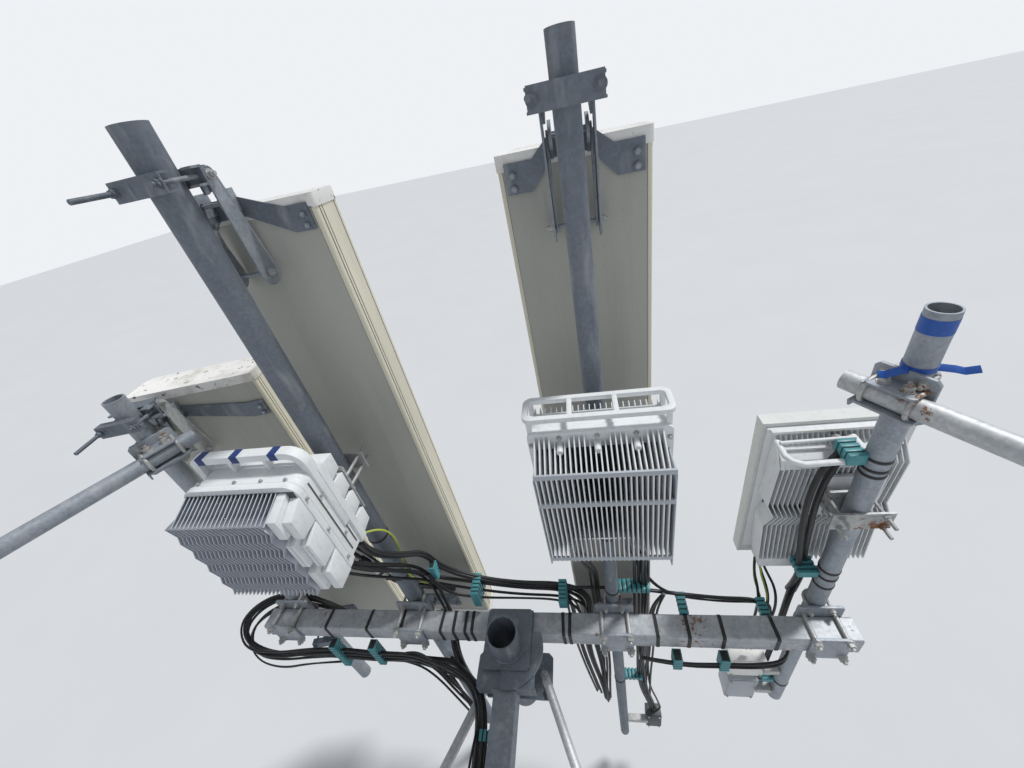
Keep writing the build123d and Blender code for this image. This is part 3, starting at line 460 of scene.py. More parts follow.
lightPlan = {
    "sun": 2.35, "sunFrom": (0.42, 0.30, 0.86), "softness": 9.0, "fill": 0.46, "fillTone": (0.90, 0.94, 1.0, 1),
    "shownTone": (0.86, 0.88, 0.91, 1), "floorGap": 0.35, "floorSpan": 60, "floorTones": (
        (0.62, 0.63, 0.64), (0.66, 0.67, 0.68)),
}


def makeLight(plan):
    lamp = bpy.data.lights.new("key_light", "SUN")
    lamp.energy = plan["sun"]
    lamp.angle = math.radians(plan["softness"])
    placed("key_light", lamp).rotation_euler = Vector(plan["sunFrom"]).to_track_quat("Z", "Y").to_euler()
    world = bpy.data.worlds.new("studio")
    bpy.context.scene.world = world
    world.use_nodes = True
    tree = world.node_tree
    tree.nodes.clear()
    out, rays, shown, fill, choose = [tree.nodes.new("ShaderNode" + kind) for kind in (
        "OutputWorld", "LightPath", "Background", "Background", "MixShader")]
    shown.inputs["Color"].default_value = plan["shownTone"]
    fill.inputs["Color"].default_value = plan["fillTone"]
    fill.inputs["Strength"].default_value = plan["fill"]
    tree.links.new(rays.outputs["Is Camera Ray"], choose.inputs[0])
    tree.links.new(fill.outputs[0], choose.inputs[1])
    tree.links.new(shown.outputs[0], choose.inputs[2])
    tree.links.new(choose.outputs[0], out.inputs["Surface"])


def makeFloor(plan):
    low = cadBounds[0][2] - plan["floorGap"]
    mesh = bpy.data.meshes.new("floor")
    span = plan["floorSpan"]
    mesh.from_pydata([(-span, -span, low), (span, -span, low), (span, span, low), (-span, span, low)], [],
                     [(0, 1, 2, 3)])
    look = Look("floor_pale")
    mesh.materials.append(look.set(Base_Color=look.mix(look.noise(0.7, 2.0), *plan["floorTones"]), Roughness=0.9))
    placed("floor", mesh)


makeCamera(cameraPlan)
makeLight(lightPlan)
makeFloor(lightPlan)
bpy.context.scene.view_settings.view_transform = "Standard"
print("stage: camera and light")


# Repeated things, grown by Geometry Nodes

class Recipe:
    # a node tree with named inputs, which ends in Realize Instances and Set Material
    def __init__(self, name, inputs):
        self.tree = bpy.data.node_groups.new(name, "GeometryNodeTree")
        kinds = {int: "NodeSocketInt", float: "NodeSocketFloat", tuple: "NodeSocketVector"}
        face = self.tree.interface
        face.new_socket("Base", in_out="INPUT", socket_type="NodeSocketGeometry")
        for key, value in inputs.items():
            face.new_socket(key, in_out="INPUT", socket_type=kinds[type(value)]).default_value = value
        face.new_socket("Finish", in_out="INPUT", socket_type="NodeSocketMaterial")
        face.new_socket("Grown", in_out="OUTPUT", socket_type="NodeSocketGeometry")
        self.entry = self.tree.nodes.new("NodeGroupInput")

    def node(self, kind, settings=None, sockets=None, out=0):
        made = self.tree.nodes.new(kind)
        for key, value in (settings or {}).items():
            setattr(made, key, value)
        for key, value in (sockets or {}).items():
            if isinstance(value, bpy.types.NodeSocket):
                self.tree.links.new(value, made.inputs[key])
            else:
                made.inputs[key].default_value = value
        return made.outputs[out]

    def given(self, key):
        return self.entry.outputs[key]

    def math(self, operation, a, b):
        return self.node("ShaderNodeMath", {"operation": operation}, {0: a, 1: b})

    def vector(self, x=0.0, y=0.0, z=0.0):
        return self.node("ShaderNodeCombineXYZ", None, {"X": x, "Y": y, "Z": z})

    def moved(self, geometry, offset):
        return self.node("GeometryNodeTransform", None, {"Geometry": geometry, "Translation": offset})

    def named(self, key):
        return self.node("GeometryNodeInputNamedAttribute", {"data_type": "FLOAT_VECTOR"}, {"Name": key})

    def chance(self, low, high):
        return self.node("FunctionNodeRandomValue", {"data_type": "FLOAT_VECTOR"}, {
            0: low, 1: high, "Seed": self.given("Seed")})

    def joined(self, parts):
        made = self.tree.nodes.new("GeometryNodeJoinGeometry")
        for part in parts:
            self.tree.links.new(part, made.inputs[0])
        return made.outputs[0]

    def close(self, geometry):
        solid = self.node("GeometryNodeRealizeInstances", None, {"Geometry": geometry})
        dressed = self.node("GeometryNodeSetMaterial", None, {
            "Geometry": solid, "Material": self.given("Finish")})
        self.tree.links.new(dressed, self.tree.nodes.new("NodeGroupOutput").inputs[0])

    def grow(self, name, values, look, mesh, wall=0.0):
        obj = placed(name, mesh)
        grown = obj.modifiers.new("grown", "NODES")
        grown.node_group = self.tree
        names = {item.name: item.identifier for item in self.tree.interface.items_tree
                 if item.in_out == "INPUT"}
        for key, value in values.items():
            grown[names[key]] = value
        grown[names["Finish"]] = looks[look]
        if wall:
            solid = obj.modifiers.new("wall", "SOLIDIFY")
            solid.thickness = wall
            solid.offset = 0
        return baked(obj)


def finRecipe():
    # copies of one fin along X: the base is the line at its root, with the way it reaches on each point
    made = Recipe("fins", {"Fins": 10, "Pitch": 0.02})
    sheet = made.tree.nodes.new("GeometryNodeExtrudeMesh")
    sheet.mode = "EDGES"
    sheet.inputs["Offset Scale"].default_value = 0.0
    made.tree.links.new(made.given("Base"), sheet.inputs["Mesh"])
    fin = made.node("GeometryNodeSetPosition", None, {
        "Geometry": sheet.outputs["Mesh"], "Selection": sheet.outputs["Top"], "Offset": made.named("reach")})
    row = made.node("GeometryNodeMeshLine", None, {
        "Count": made.given("Fins"), "Offset": made.vector(x=made.given("Pitch"))})
    made.close(made.node("GeometryNodeInstanceOnPoints", None, {"Points": row, "Instance": fin}))
    return made


def boltRecipe():
    # nuts with a washer and a thread end on each point of the base, aimed along its attribute "way"
    made = Recipe("bolts", {"Nut": 0.01, "Height": 0.01, "Tail": 0.008, "Seed": 5})
    radius = made.given("Nut")
    parts = []
    start = 0.0
    for share, sides, length in ((1.3, 18, 0.0025), (1.0, 6, made.given("Height")),
                                 (0.52, 12, made.given("Tail"))):
        size = made.math("MULTIPLY", radius, share)
        solid = made.node("GeometryNodeMeshCylinder", None, {"Vertices": sides, "Radius": size, "Depth": length})
        half = made.math("MULTIPLY", length, 0.5)
        parts.append(made.moved(solid, made.vector(z=made.math("ADD", half, start))))
        start = made.math("ADD", start, length)
    turn = made.node("FunctionNodeAlignRotationToVector", {"axis": "Z"}, {"Vector": made.named("way")})
    aimed = made.node("GeometryNodeInstanceOnPoints", None, {
        "Points": made.given("Base"), "Instance": made.joined(parts), "Rotation": turn})
    spin = made.chance((0.0, 0.0, 0.0), (0.0, 0.0, 1.0))
    made.close(made.node("GeometryNodeRotateInstances", None, {"Instances": aimed, "Rotation": spin}))
    return made


def tieRecipe():
    # a strap round a square tube at each point of the base, with its lock, a little askew
    made = Recipe("ties", {"Side": 0.1046, "Width": 0.005, "Thick": 0.0016, "Askew": 0.06, "Seed": 3})
    side = made.given("Side")
    loop = made.node("GeometryNodeCurvePrimitiveQuadrilateral", None, {"Width": side, "Height": side})
    loop = made.node("GeometryNodeFilletCurve", None, {"Curve": loop, "Radius": 0.009, "Limit Radius": True})
    loop = made.node("GeometryNodeResampleCurve", None, {"Curve": loop, "Count": 56})
    strip = made.node("GeometryNodeCurvePrimitiveQuadrilateral", None, {
        "Width": made.given("Thick"), "Height": made.given("Width")})
    strap = made.node("GeometryNodeCurveToMesh", None, {"Curve": loop, "Profile Curve": strip, "Fill Caps": True})
    lock = made.node("GeometryNodeMeshCube", None, {"Size": (0.009, 0.006, 0.009)})
    lock = made.moved(lock, made.vector(x=0.02, y=made.math("MULTIPLY", side, 0.5)))
    upright = made.node("GeometryNodeTransform", None, {
        "Geometry": made.joined((strap, lock)), "Rotation": (0.0, math.pi / 2, 0.0)})
    low = made.vector(z=made.math("MULTIPLY", made.given("Askew"), -1.0))
    askew = made.chance(low, made.vector(z=made.given("Askew")))
    turn = made.node("FunctionNodeEulerToRotation", None, {0: askew})
    made.close(made.node("GeometryNodeInstanceOnPoints", None, {
        "Points": made.given("Base"), "Instance": upright, "Rotation": turn}))
    return made


finTree = finRecipe()
boltTree = boltRecipe()
tieTree = tieRecipe()


def lineMesh(name, points, edges=(), key="", vectors=()):
    # the points and edges that a recipe grows on, with a vector on each point
    mesh = bpy.data.meshes.new(name)
    mesh.from_pydata([tuple(p) for p in points], edges, [])
    if key:
        store = mesh.attributes.new(key, "FLOAT_VECTOR", "POINT")
        store.data.foreach_set("vector", [value for vector in vectors for value in vector])
    return mesh


class BoltList:
    # collects nuts by size, then makes one piece of each size for a body
    def __init__(self, name, look="zinc", body="root"):
        self.name, self.look, self.body = name, look, body
        self.sizes = {}

    def put(self, size, centre, way, tail=0.008):
        self.sizes.setdefault((size, tail), []).append((Vector(centre), Vector(way).normalized()))

    def make(self, turn=None):
        for i, ((size, tail), spots) in enumerate(sorted(self.sizes.items())):
            name = f"{self.name}_{i + 1}"
            mesh = lineMesh(name, [spot for spot, _ in spots], (), "way", [way for _, way in spots])
            obj = boltTree.grow(name, {"Nut": size, "Height": size * 0.95, "Tail": tail, "Seed": i + 5},
                                self.look, mesh)
            if turn is not None:
                obj.data.transform(turn)
            finish(obj, self.look, body=self.body)


print("stage: recipes ready")


# Crossover clamps, tie clamps and the post's bolts

def cutCorners(width, height, corner):
    # a rectangle with cut corners, about its middle
    x, z, c = width / 2, height / 2, corner
    return [(x - c, -z), (x, c - z), (x, z - c), (x - c, z), (c - x, z), (-x, z - c), (-x, c - z), (c - x, -z)]


crossPlan = {"far": (0.180, 0.230), "near": (0.150, 0.160), "plate": 0.012, "across": 0.120, "nut": 0.0162,
             "over": 0.011, "uBoltRise": 0.095, "rod": 0.0065, "leg": 0.022, "corner": 0.010, "bolt": 0.009,
             "edge": 0.0018}


def makeCrossover(name, plan):
    centre, radius, _ = masts[name]
    x, y, thick = centre.x, centre.y, plan["plate"]
    far, near = tubeHigh.y + thick, tubeLow.y
    plates = Shape()
    for size, depth in (("far", far), ("near", near)):
        plates.prism(cutCorners(*plan[size], plan["corner"]), (x, depth, 0), (1, 0, 0), (0, 0, 1), thick)
    plates.piece("crossover_plates_" + name, "steel", ["crossover_" + name], plan["edge"])
    hardware = Shape()
    nuts = BoltList("crossover_nuts_" + name)
    for side in (-1, 1):
        for z in (-tubeHigh.z - plan["over"], tubeHigh.z + plan["over"]):
            spot = x + side * plan["across"] / 2
            hardware.bar((spot, near - thick, z), (spot, far, z), plan["bolt"])
            nuts.put(plan["nut"], (spot, near - thick, z), (0, -1, 0), 0.010)
            nuts.put(plan["nut"], (spot, far, z), (0, 1, 0))
    reach = radius + thick
    for z in (-plan["uBoltRise"], plan["uBoltRise"]):
        hardware.uBolt((x, y, z), (0, 0, 1), (0, -1, 0), radius + snug, plan["rod"], reach + plan["leg"], reach)
    hardware.piece("crossover_hardware_" + name, "zinc")
    nuts.make()


for name in masts:
    makeCrossover(name, crossPlan)


tiePlan = {
    "plate": (0.150, 0.150, 0.012), "thick": 0.012, "uBolts": 0.050, "hubs": 0.055, "rod": 0.0065, "leg": 0.020,
    "height": 1.245, "angle": 60.0, "pipe": 0.03015, "jaw": 0.008, "gap": 0.001, "jawSizes": [
        (0.120, 0.036), (0.150, 0.040)], "lip": (0.020, 0.004, 0.006), "jawBolts": (0.0135, 0.028, 0.012),
}


def makeTieClamp(side, plan):
    name = "right" if side > 0 else "far_left"
    centre, radius, _ = masts[name]
    slant = math.radians(plan["angle"])
    way = Vector((side * math.cos(slant), -math.sin(slant), 0))
    inward = Vector((-side * math.sin(slant), -math.cos(slant), 0))
    mastAt = Vector((centre.x, centre.y, plan["height"]))
    thick, pipe = plan["thick"], plan["pipe"]
    seat = mastAt + inward * (radius + thick)
    clamp = Shape()
    up = Vector((0, 0, 1))
    sink = thick if way.cross(up).dot(inward) > 0 else 0
    clamp.prism(cutCorners(*plan["plate"]), seat - inward * sink, way, up, thick)
    node = "tie_clamp_" + ("right" if side > 0 else "left")
    clamp.piece(node + "_plate", "steel", [node], crossPlan["edge"])
    bows = Shape()
    for z in (-plan["uBolts"], plan["uBolts"]):
        bows.uBolt(mastAt + up * z, up, inward, radius + snug, plan["rod"], radius + thick + plan["leg"],
                   radius + thick)
    line = mastAt + inward * (radius + pipe + thick)
    for s in (-1, 1):
        bows.uBolt(line + way * (s * plan["hubs"]), way, -inward, pipe + snug, plan["rod"],
                   pipe + thick + plan["leg"], pipe + thick)
    bows.piece(node + "_bows", "zinc")
    # two folded plates that grip the pipe from above and from below, with a bolt through both
    jaws = Shape()
    nuts = BoltList(node + "_jaw_nuts")
    jaw, gap, (drop, rise, lipThick) = plan["jaw"], plan["gap"], plan["lip"]
    for lift, (long, wide) in zip((pipe + gap, -pipe - gap - jaw), plan["jawSizes"]):
        base = line + up * lift - inward * (jaw / 2)
        jaws.prism(cutCorners(long, wide * 2, jaw), base, way, inward, jaw if way.cross(inward).z > 0 else -jaw)
        lip = [(jaw - wide, -drop), (wide - jaw, -drop), (wide, rise), (-wide, rise)]
        jaws.prism(lip, base + way * (side * -long / 2), inward, up, lipThick)
    size, apart, tail = plan["jawBolts"]
    for s in (-apart, apart):
        nuts.put(size, line + way * s + up * (pipe + gap + jaw), up, tail)
    jaws.piece(node + "_jaws", "steel", bevel=0.0015)
    nuts.make()


for side in (-1, 1):
    makeTieClamp(side, tiePlan)


postPlan = {"lug": -0.221, "lugBolts": (0.130, 0.9986), "nut": 0.015, "tail": 0.012, "radius": 0.07065,
            "y": 0.99865, "beads": [(0.0868, 0.006), (0.0640, 0.005)]}


def makePostBolts(plan):
    nuts = BoltList("post_nuts")
    apart, y = plan["lugBolts"]
    for x in (-apart, apart):
        nuts.put(plan["nut"], (x, y, plan["lug"]), (0, 0, 1), plan["tail"])
    nuts.make()
    # weld beads where the post meets its collar and the cap
    beads = Shape()
    for z, size in plan["beads"]:
        ring = arc(0, plan["y"], plan["radius"], 0, 2 * math.pi, 40)
        beads.path([(*p, z) for p in ring], size, 8)
    beads.piece("post_welds", "steelDark", angle=60)


makePostBolts(postPlan)
print("stage: crossovers and clamps")


# Panel antennas and their tilt brackets

antennaPlan = {
    "left": {"shift": 0.025, "wide": 0.500, "top": 2.010, "long": 2.440, "rise": 0, "turn": 0, "links": "steel"},
    "middle": {"shift": 0.004, "wide": 0.400, "top": 2.000, "long": 2.440, "rise": 0, "turn": 0,
               "links": "steel"},
    "far_left": {"shift": 0.130, "wide": 0.560, "top": 1.415, "long": 2.000, "rise": -0.110, "turn": 10.7,
                 "links": "steelPale"},
}
bracketPlan = {
    "standoff": 0.165, "pivot": (0.090, 0.095), "earAt": (0.120, 0.020), "hinge": (0.065, 0.160), "ear": 0.050,
    "link": 0.005, "gap": 0.002, "arms": 0.006, "rootRound": 0.021, "elbowRound": 0.040, "innerRound": 0.015,
    "upper": 0.2866, "lower": 0.210, "pin": 0.006, "pocket": (0.0080, 0.0045, -0.0030), "pinNut": (0.0105, 0.006),
}


def antennaPlaces(name):
    # where the CAD puts one antenna's pins and faces, in (y, z) pairs
    plan, sizes = antennaPlan[name], bracketPlan
    centre, radius, _ = masts[name]
    y, top, bottom = centre.y, plan["top"] + plan["rise"], plan["top"] - plan["long"]
    pivot, ear = [Vector((y + dy, top + dz)) for dy, dz in (sizes["pivot"], sizes["earAt"])]
    gap = ear - pivot
    along = (sizes["upper"] ** 2 - sizes["lower"] ** 2 + gap.length_squared) / (2 * gap.length)
    off = math.sqrt(sizes["upper"] ** 2 - along ** 2)
    way = gap.normalized()
    choices = [pivot + way * along + Vector((way.y, -way.x)) * off * sign for sign in (-1, 1)]
    about = Matrix.Translation((centre.x, y, 0))
    return {"x": centre.x, "y": y, "r": radius, "middle": centre.x + plan["shift"], "half": plan["wide"] / 2,
            "top": plan["top"], "bottom": bottom, "back": y + sizes["standoff"], "plate": top, "pivot": pivot,
            "ear": ear, "elbow": min(choices, key=lambda p: p.y),
            "hinge": Vector((y + sizes["hinge"][0], bottom + sizes["hinge"][1])),
            "turn": about @ Matrix.Rotation(math.radians(plan["turn"]), 4, "Z") @ about.inverted()}


def linkOutline(a, b, roundA, roundB, steps=12):
    # a flat link round both points
    away = b - a
    slant = math.atan2(away.y, away.x)
    lean = math.acos((roundA - roundB) / away.length)
    return (arc(*a, roundA, slant + lean, slant + 2 * math.pi - lean, steps)
            + arc(*b, roundB, slant - lean, slant + lean, steps))


def makeLinks(name, p, sizes):
    x, thick = p["x"], sizes["link"]
    outer = sizes["ear"] + sizes["arms"] + sizes["gap"]
    for which, first, inner, roundA in (("upper", p["pivot"], outer, sizes["rootRound"]),
                                        ("lower", p["ear"], sizes["ear"], sizes["innerRound"])):
        roundB = sizes["elbowRound"] if which == "upper" else sizes["innerRound"]
        outline = linkOutline(first, p["elbow"], roundA, roundB)
        arms = Shape()
        for side in (-1, 1):
            start = x + side * inner if side > 0 else x - inner - thick
            arms.across(outline, start, thick)
        if which == "upper":
            # the stamped pocket in each outer link
            wide = [f for f in arms.mesh.faces if len(f.verts) > 8
                    and abs(abs(f.calc_center_median().x - x) - inner - thick) < 1e-5]
            border, slope, depth = sizes["pocket"]
            bmesh.ops.inset_individual(arms.mesh, faces=wide, thickness=border, depth=0.0)
            bmesh.ops.inset_individual(arms.mesh, faces=wide, thickness=slope, depth=depth)
        tip = inner + thick
        nuts = BoltList(f"{name}_{which}_nuts", body=f"{name}_{which}_link")
        size, tail = sizes["pinNut"]
        for pin in (first, p["elbow"]) if which == "upper" else (first,):
            arms.bar((x - tip, *pin), (x + tip, *pin), sizes["pin"])
            if which == "upper":
                for side in (-1, 1):
                    nuts.put(size, (x + side * tip, *pin), (side, 0, 0), tail)
        arms.turned(p["turn"])
        arms.piece(f"{name}_{which}_arms", antennaPlan[name]["links"], [f"{name}_{which}_links"], 0.0006,
                   body=f"{name}_{which}_link")
        nuts.make(p["turn"])


clampPlan = {
    "near": 0.034, "far": 0.006, "rod": 0.0062, "rodAt": 0.066, "tail": 0.088, "lower": 0.075,
    "nut": (0.0104, 0.001), "nearEnd": (0.0225, 0.012), "farEnd": (0.010, 0.0165), "slots": (-0.046, -0.020),
    "slot": (0.008, 0.0045, 0.0003),
}


def makeClampHardware(name, p, plan):
    # threaded rods, washers and nuts over the plain ones of the two mast clamps
    x, y, r = p["x"], p["y"], p["r"]
    rods = Shape()
    nuts = BoltList(name + "_clamp_nuts", look="steelDark")
    near, far = y - r - plan["near"], y + r + plan["far"]
    (out, inner), (start, end), rod = plan["nearEnd"], plan["farEnd"], plan["rod"] + snug
    for z, tail in ((p["pivot"].y, plan["tail"]), (p["hinge"].y + plan["lower"], 0.0)):
        for side in (-1, 1):
            spot = x + side * plan["rodAt"]
            reach = tail if side < 0 else 0.0
            rods.thread((spot, near - out - reach, z), (spot, near - inner, z), rod)
            rods.thread((spot, far + start, z), (spot, far + end, z), rod)
            for depth, way in ((near, -1), (far, 1)):
                nuts.put(plan["nut"][0], (spot, depth, z), (0, way, 0), plan["nut"][1])
    # the two slots of the near channel
    half, wide, deep = plan["slot"]
    for dx in plan["slots"]:
        rods.prism(linkOutline(Vector((dx, -half)), Vector((dx, half)), wide, wide - 0.00001, 6),
                   (x, near - snug, p["pivot"].y), (1, 0, 0), (0, 0, 1), deep)
    rods.turned(p["turn"])
    rods.piece(name + "_clamp_rods", "steelDark")
    nuts.make(p["turn"])


platePlan = {"rim": 0.040, "rear": 0.008, "drops": (0.052, 0.084), "nut": 0.0078, "hingeAt": 0.090,
             "hingeRear": 0.005, "hingeDrops": (-0.035, 0.035), "hingeNut": 0.0106, "tail": 0.003}


def makePlateBolts(name, p, plan):
    nuts = BoltList(name + "_plate_bolts", look="steel", body=name + "_antenna")
    for side in (-1, 1):
        for drop in plan["drops"]:
            spot = (p["middle"] + side * (p["half"] - plan["rim"]), p["back"] - plan["rear"], p["plate"] - drop)
            nuts.put(plan["nut"], spot, (0, -1, 0), plan["tail"])
        for dz in plan["hingeDrops"]:
            spot = (p["x"] + side * plan["hingeAt"], p["back"] - plan["hingeRear"], p["hinge"].y + dz)
            nuts.put(plan["hingeNut"], spot, (0, -1, 0), plan["tail"])
    nuts.make(p["turn"])


def keyhole(outline, centre, r, steps=18):
    # an outline with a round hole, cut in from the point furthest to the right
    start = max(range(len(outline)), key=lambda i: outline[i][0])
    return outline[start:] + outline[:start + 1] + arc(*centre, r, 0, -2 * math.pi, steps)


armPlan = {
    "from": 0.004, "roof": (0.0185, 0.0235), "wide": 0.0055, "thick": 0.0068, "hole": 0.0064, "foot": 0.046,
    "nose": [(-0.030, -0.046), (0.018, -0.026), (0.0235, -0.010), (0.0235, 0.010), (0.006, 0.0235)],
    "ear": 0.034, "earFoot": 0.030, "earSquash": 0.95, "earHole": 0.0102, "earThick": 0.0072, "earAt": 0.0450,
}


def makeArms(name, p, sizes, plan):
    # the bent arm between the mast's clamp and the pivot, and the round ears on the antenna
    x, ear, thick = p["x"], sizes["ear"], plan["thick"]
    y0, (y1, z1) = p["y"] + p["r"] + plan["from"], p["pivot"]
    under, over = plan["roof"]
    arm = Shape()
    arm.box((x - ear - plan["wide"], y0, z1 + under), (x + ear + plan["wide"], y1 + plan["from"], z1 + over))
    cheek = [(y0, z1 + over), (y0, z1 - plan["foot"])] + [(y1 + dy, z1 + dz) for dy, dz in plan["nose"]]
    for start in (x - ear + snug - thick, x + ear - snug):
        arm.across(keyhole(cheek, (y1, z1), plan["hole"]), start, thick)
    arm.turned(p["turn"])
    arm.piece(name + "_arm", "steelDark", angle=50)
    tabs = Shape()
    (ye, ze), rear = p["ear"], p["back"] - 0.004
    head = arc(ye, ze, plan["ear"], math.pi / 2, math.pi * 1.5, 12)[:-1]
    tab = [(rear, ze - plan["earFoot"]), (rear, ze + plan["ear"])]
    tab += [(ye + (y - ye) * plan["earSquash"], z) for y, z in head] + [(ye, ze - plan["earFoot"])]
    for side in (-1, 1):
        tabs.across(keyhole(tab, (ye, ze), plan["earHole"]), x + side * plan["earAt"] - plan["earThick"] / 2,
                    plan["earThick"])
    tabs.turned(p["turn"])
    tabs.piece(name + "_ears", "steel", angle=50, body=name + "_antenna")


def profile(half, depth, front, rear):
    # the antenna's section about its middle: +y is the rounded front
    points = []
    for i, (side, end, r) in enumerate(((1, 1, front), (-1, 1, front), (-1, -1, rear), (1, -1, rear))):
        points += arc(side * (half - r), end * (depth / 2 - r), r, math.pi / 2 * i, math.pi / 2 * (i + 1), 8)
    return points


capPlan = {"depth": 0.160, "corner": 0.045, "rear": 0.015, "tall": 0.040, "lip": 0.003, "edge": 0.004,
           "tray": [(0.004, 0.0), (0.010, -0.0015), (0.004, -0.0025)], "sockets": 4,
           "steps": [(0.0148, 0.0, -0.012), (0.011, -0.012, -0.024), (0.0125, -0.024, -0.032)]}


def makeCaps(name, p, plan):
    lip, depth, tall = plan["lip"], plan["depth"], plan["tall"]
    x, y = p["middle"], p["back"] + depth / 2
    caps = Shape()
    outline = profile(p["half"] + lip, depth + 2 * lip, plan["corner"] + lip, plan["rear"])
    for z in (p["bottom"], p["top"] - tall):
        caps.prism(outline, (x, y, z), (1, 0, 0), (0, 1, 0), tall)
    lids = [f for f in caps.mesh.faces if len(f.verts) > 8 and f.calc_center_median().z > p["top"] - 0.001]
    # a rounded shoulder and a shallow tray on the top cap
    for inset, drop in plan["tray"]:
        bmesh.ops.inset_individual(caps.mesh, faces=lids, thickness=inset, depth=drop)
    caps.turned(p["turn"])
    caps.piece(name + "_caps", "cap", [name + "_end_caps"], plan["edge"], angle=40, body=name + "_antenna")
    sockets = Shape()
    for i in range(plan["sockets"]):
        spot = x + (i - (plan["sockets"] - 1) / 2) * p["half"] * 2 / (plan["sockets"] + 1)
        for r, top, end in plan["steps"]:
            sockets.bar((spot, y, p["bottom"] + top), (spot, y, p["bottom"] + end), r, 18)
    sockets.turned(p["turn"])
    sockets.piece(name + "_sockets", "zinc", body=name + "_antenna")


seamPlan = {"ridges": ((0.020, 0.0025), (0.036, 0.0015), (0.112, 0.0015)), "in": 0.001, "out": 0.0012,
            "strips": (0.0135, -0.0145), "wide": 0.001, "deep": (0.0006, 0.001)}


def makeSeams(name, p, plan):
    # narrow ridges where the cover snaps on the tray, and a strip down each edge of the back
    low, high = p["bottom"] + capPlan["tall"], p["top"] - capPlan["tall"]
    ridges = Shape()
    for side in (-1, 1):
        edge = p["middle"] + side * p["half"]
        x0, x1 = sorted((edge - side * plan["in"], edge + side * plan["out"]))
        for y, wide in plan["ridges"]:
            ridges.box((x0, p["back"] + y, low), (x1, p["back"] + y + wide, high))
    out, inner = plan["deep"]
    for side, inset in zip((-1, 1), plan["strips"]):
        x = p["middle"] + side * p["half"] + inset
        ridges.box((x, p["back"] - out, low), (x + plan["wide"], p["back"] + inner, high))
    ridges.turned(p["turn"])
    ridges.piece(name + "_seams", "seam", body=name + "_antenna", slot="radome_cream")


for name in antennaPlan:
    spots = antennaPlaces(name)
    makeLinks(name, spots, bracketPlan)
    makeClampHardware(name, spots, clampPlan)
    makePlateBolts(name, spots, platePlan)
    makeArms(name, spots, bracketPlan, armPlan)
    makeCaps(name, spots, capPlan)
    makeSeams(name, spots, seamPlan)
print("stage: antennas and tilt brackets")


# Cables, laid along the CAD's routes, some with longer ends

strandPlan = {
    "bundle": [(0.0, 0.0092, 0.0066), (72.0, 0.0095, 0.0062), (144.0, 0.0094, 0.0066), (216.0, 0.0096, 0.0058),
               (288.0, 0.0093, 0.0064)],
    "pair": [(20.0, 0.0046, 0.0046), (200.0, 0.0046, 0.0046)],
    "single": [(0.0, 0.0, 0.0112)],
    "wander": 0.0022, "twist": 14.0,
}
routes = {
    "cables_far_side": [
        ([(-440, 1040, 840), (-440, 1040, 770), (-396, 1120, 620), (-376, 1250, 450), (-340, 1266, 290),
          (-166, 1264, 185), (50, 1250, 161), (258, 1266, 130), (380, 1276, 20), (372, 1280, -180),
          (376, 1268, -420), (404, 1240, -700), (402, 1214, -960), (408, 1220, -1200)], "bundle"),
        ([(-372, 1200, 330), (-345, 1204, 170), (-180, 1206, 112), (50, 1200, 122), (235, 1206, 104),
          (330, 1204, 40), (338, 1200, -120), (332, 1200, -360), (350, 1206, -620), (380, 1206, -900),
          (392, 1212, -1150)], "pair"),
        ([(560, 1290, 560), (610, 1275, 330), (699, 1262, 120), (816, 1256, 40), (997, 1246, 16),
          (1172, 1252, 4), (1244, 1270, -60), (1254, 1276, -300)], "pair"),
    ],
    "cables_near_side": [
        ([(-1020, 1234, -170), (-1090, 1252, -110), (-1240, 1278, -50), (-1380, 1264, -14), (-1510, 1215, 16),
          (-1600, 1130, -10), (-1590, 1050, -110), (-1440, 1030, -200), (-1240, 1040, -190),
          (-1000, 1044, -205), (-768, 1040, -225), (-560, 1030, -165), (-430, 1016, -150), (-352, 1008, -126),
          (-308, 992, -98)], "bundle"),
        ([(-1060, 1250, -230), (-1200, 1290, -170), (-1400, 1276, -110), (-1560, 1200, -90),
          (-1650, 1100, -150), (-1600, 1020, -270), (-1430, 1000, -310), (-1240, 1020, -270),
          (-1010, 1034, -262)], "pair"),
        ([(600, 1040, -90), (760, 1034, -130), (960, 1040, -140), (1150, 1034, -120)], "pair"),
    ],
    "cables_arm": [
        ([(-330, 1010, -110), (-230, 940, -60), (-120, 850, -36), (-84, 700, -30), (-80, 520, -34),
          (-84, 330, -30), (-80, 190, -36)], "bundle"),
        ([(-366, 985, -190), (-300, 930, -330), (-230, 860, -310), (-118, 790, -140), (-90, 650, -82),
          (-84, 480, -84), (-88, 300, -90)], "pair"),
    ],
    "cables_masts": [
        ([(600, 1085, 885), (600, 1085, 810), (640, 1180, 640), (640, 1240, 420), (652, 1236, 180),
          (644, 1226, -60), (650, 1226, -300), (636, 1232, -560), (612, 1240, -820), (640, 1236, -1090),
          (690, 1238, -1300), (690, 1238, -1400)], "bundle"),
        ([(1322, 1294, 150), (1314, 1290, 80), (1302, 1276, 0), (1294, 1266, -200), (1302, 1270, -450),
          (1294, 1264, -760), (1302, 1266, -1000)], "bundle"),
    ],
    "cables_active": [
        ([(1316, 1330, 945), (1298, 1268, 972), (1232, 1240, 910), (1212, 1230, 780), (1226, 1230, 590),
          (1256, 1238, 400), (1296, 1256, 220), (1304, 1304, 30)], "single"),
        ([(1350, 1332, 930), (1316, 1280, 940), (1262, 1248, 862), (1246, 1236, 730), (1262, 1240, 540),
          (1290, 1262, 380), (1332, 1284, 200), (1330, 1300, 20)], "single"),
    ],
}


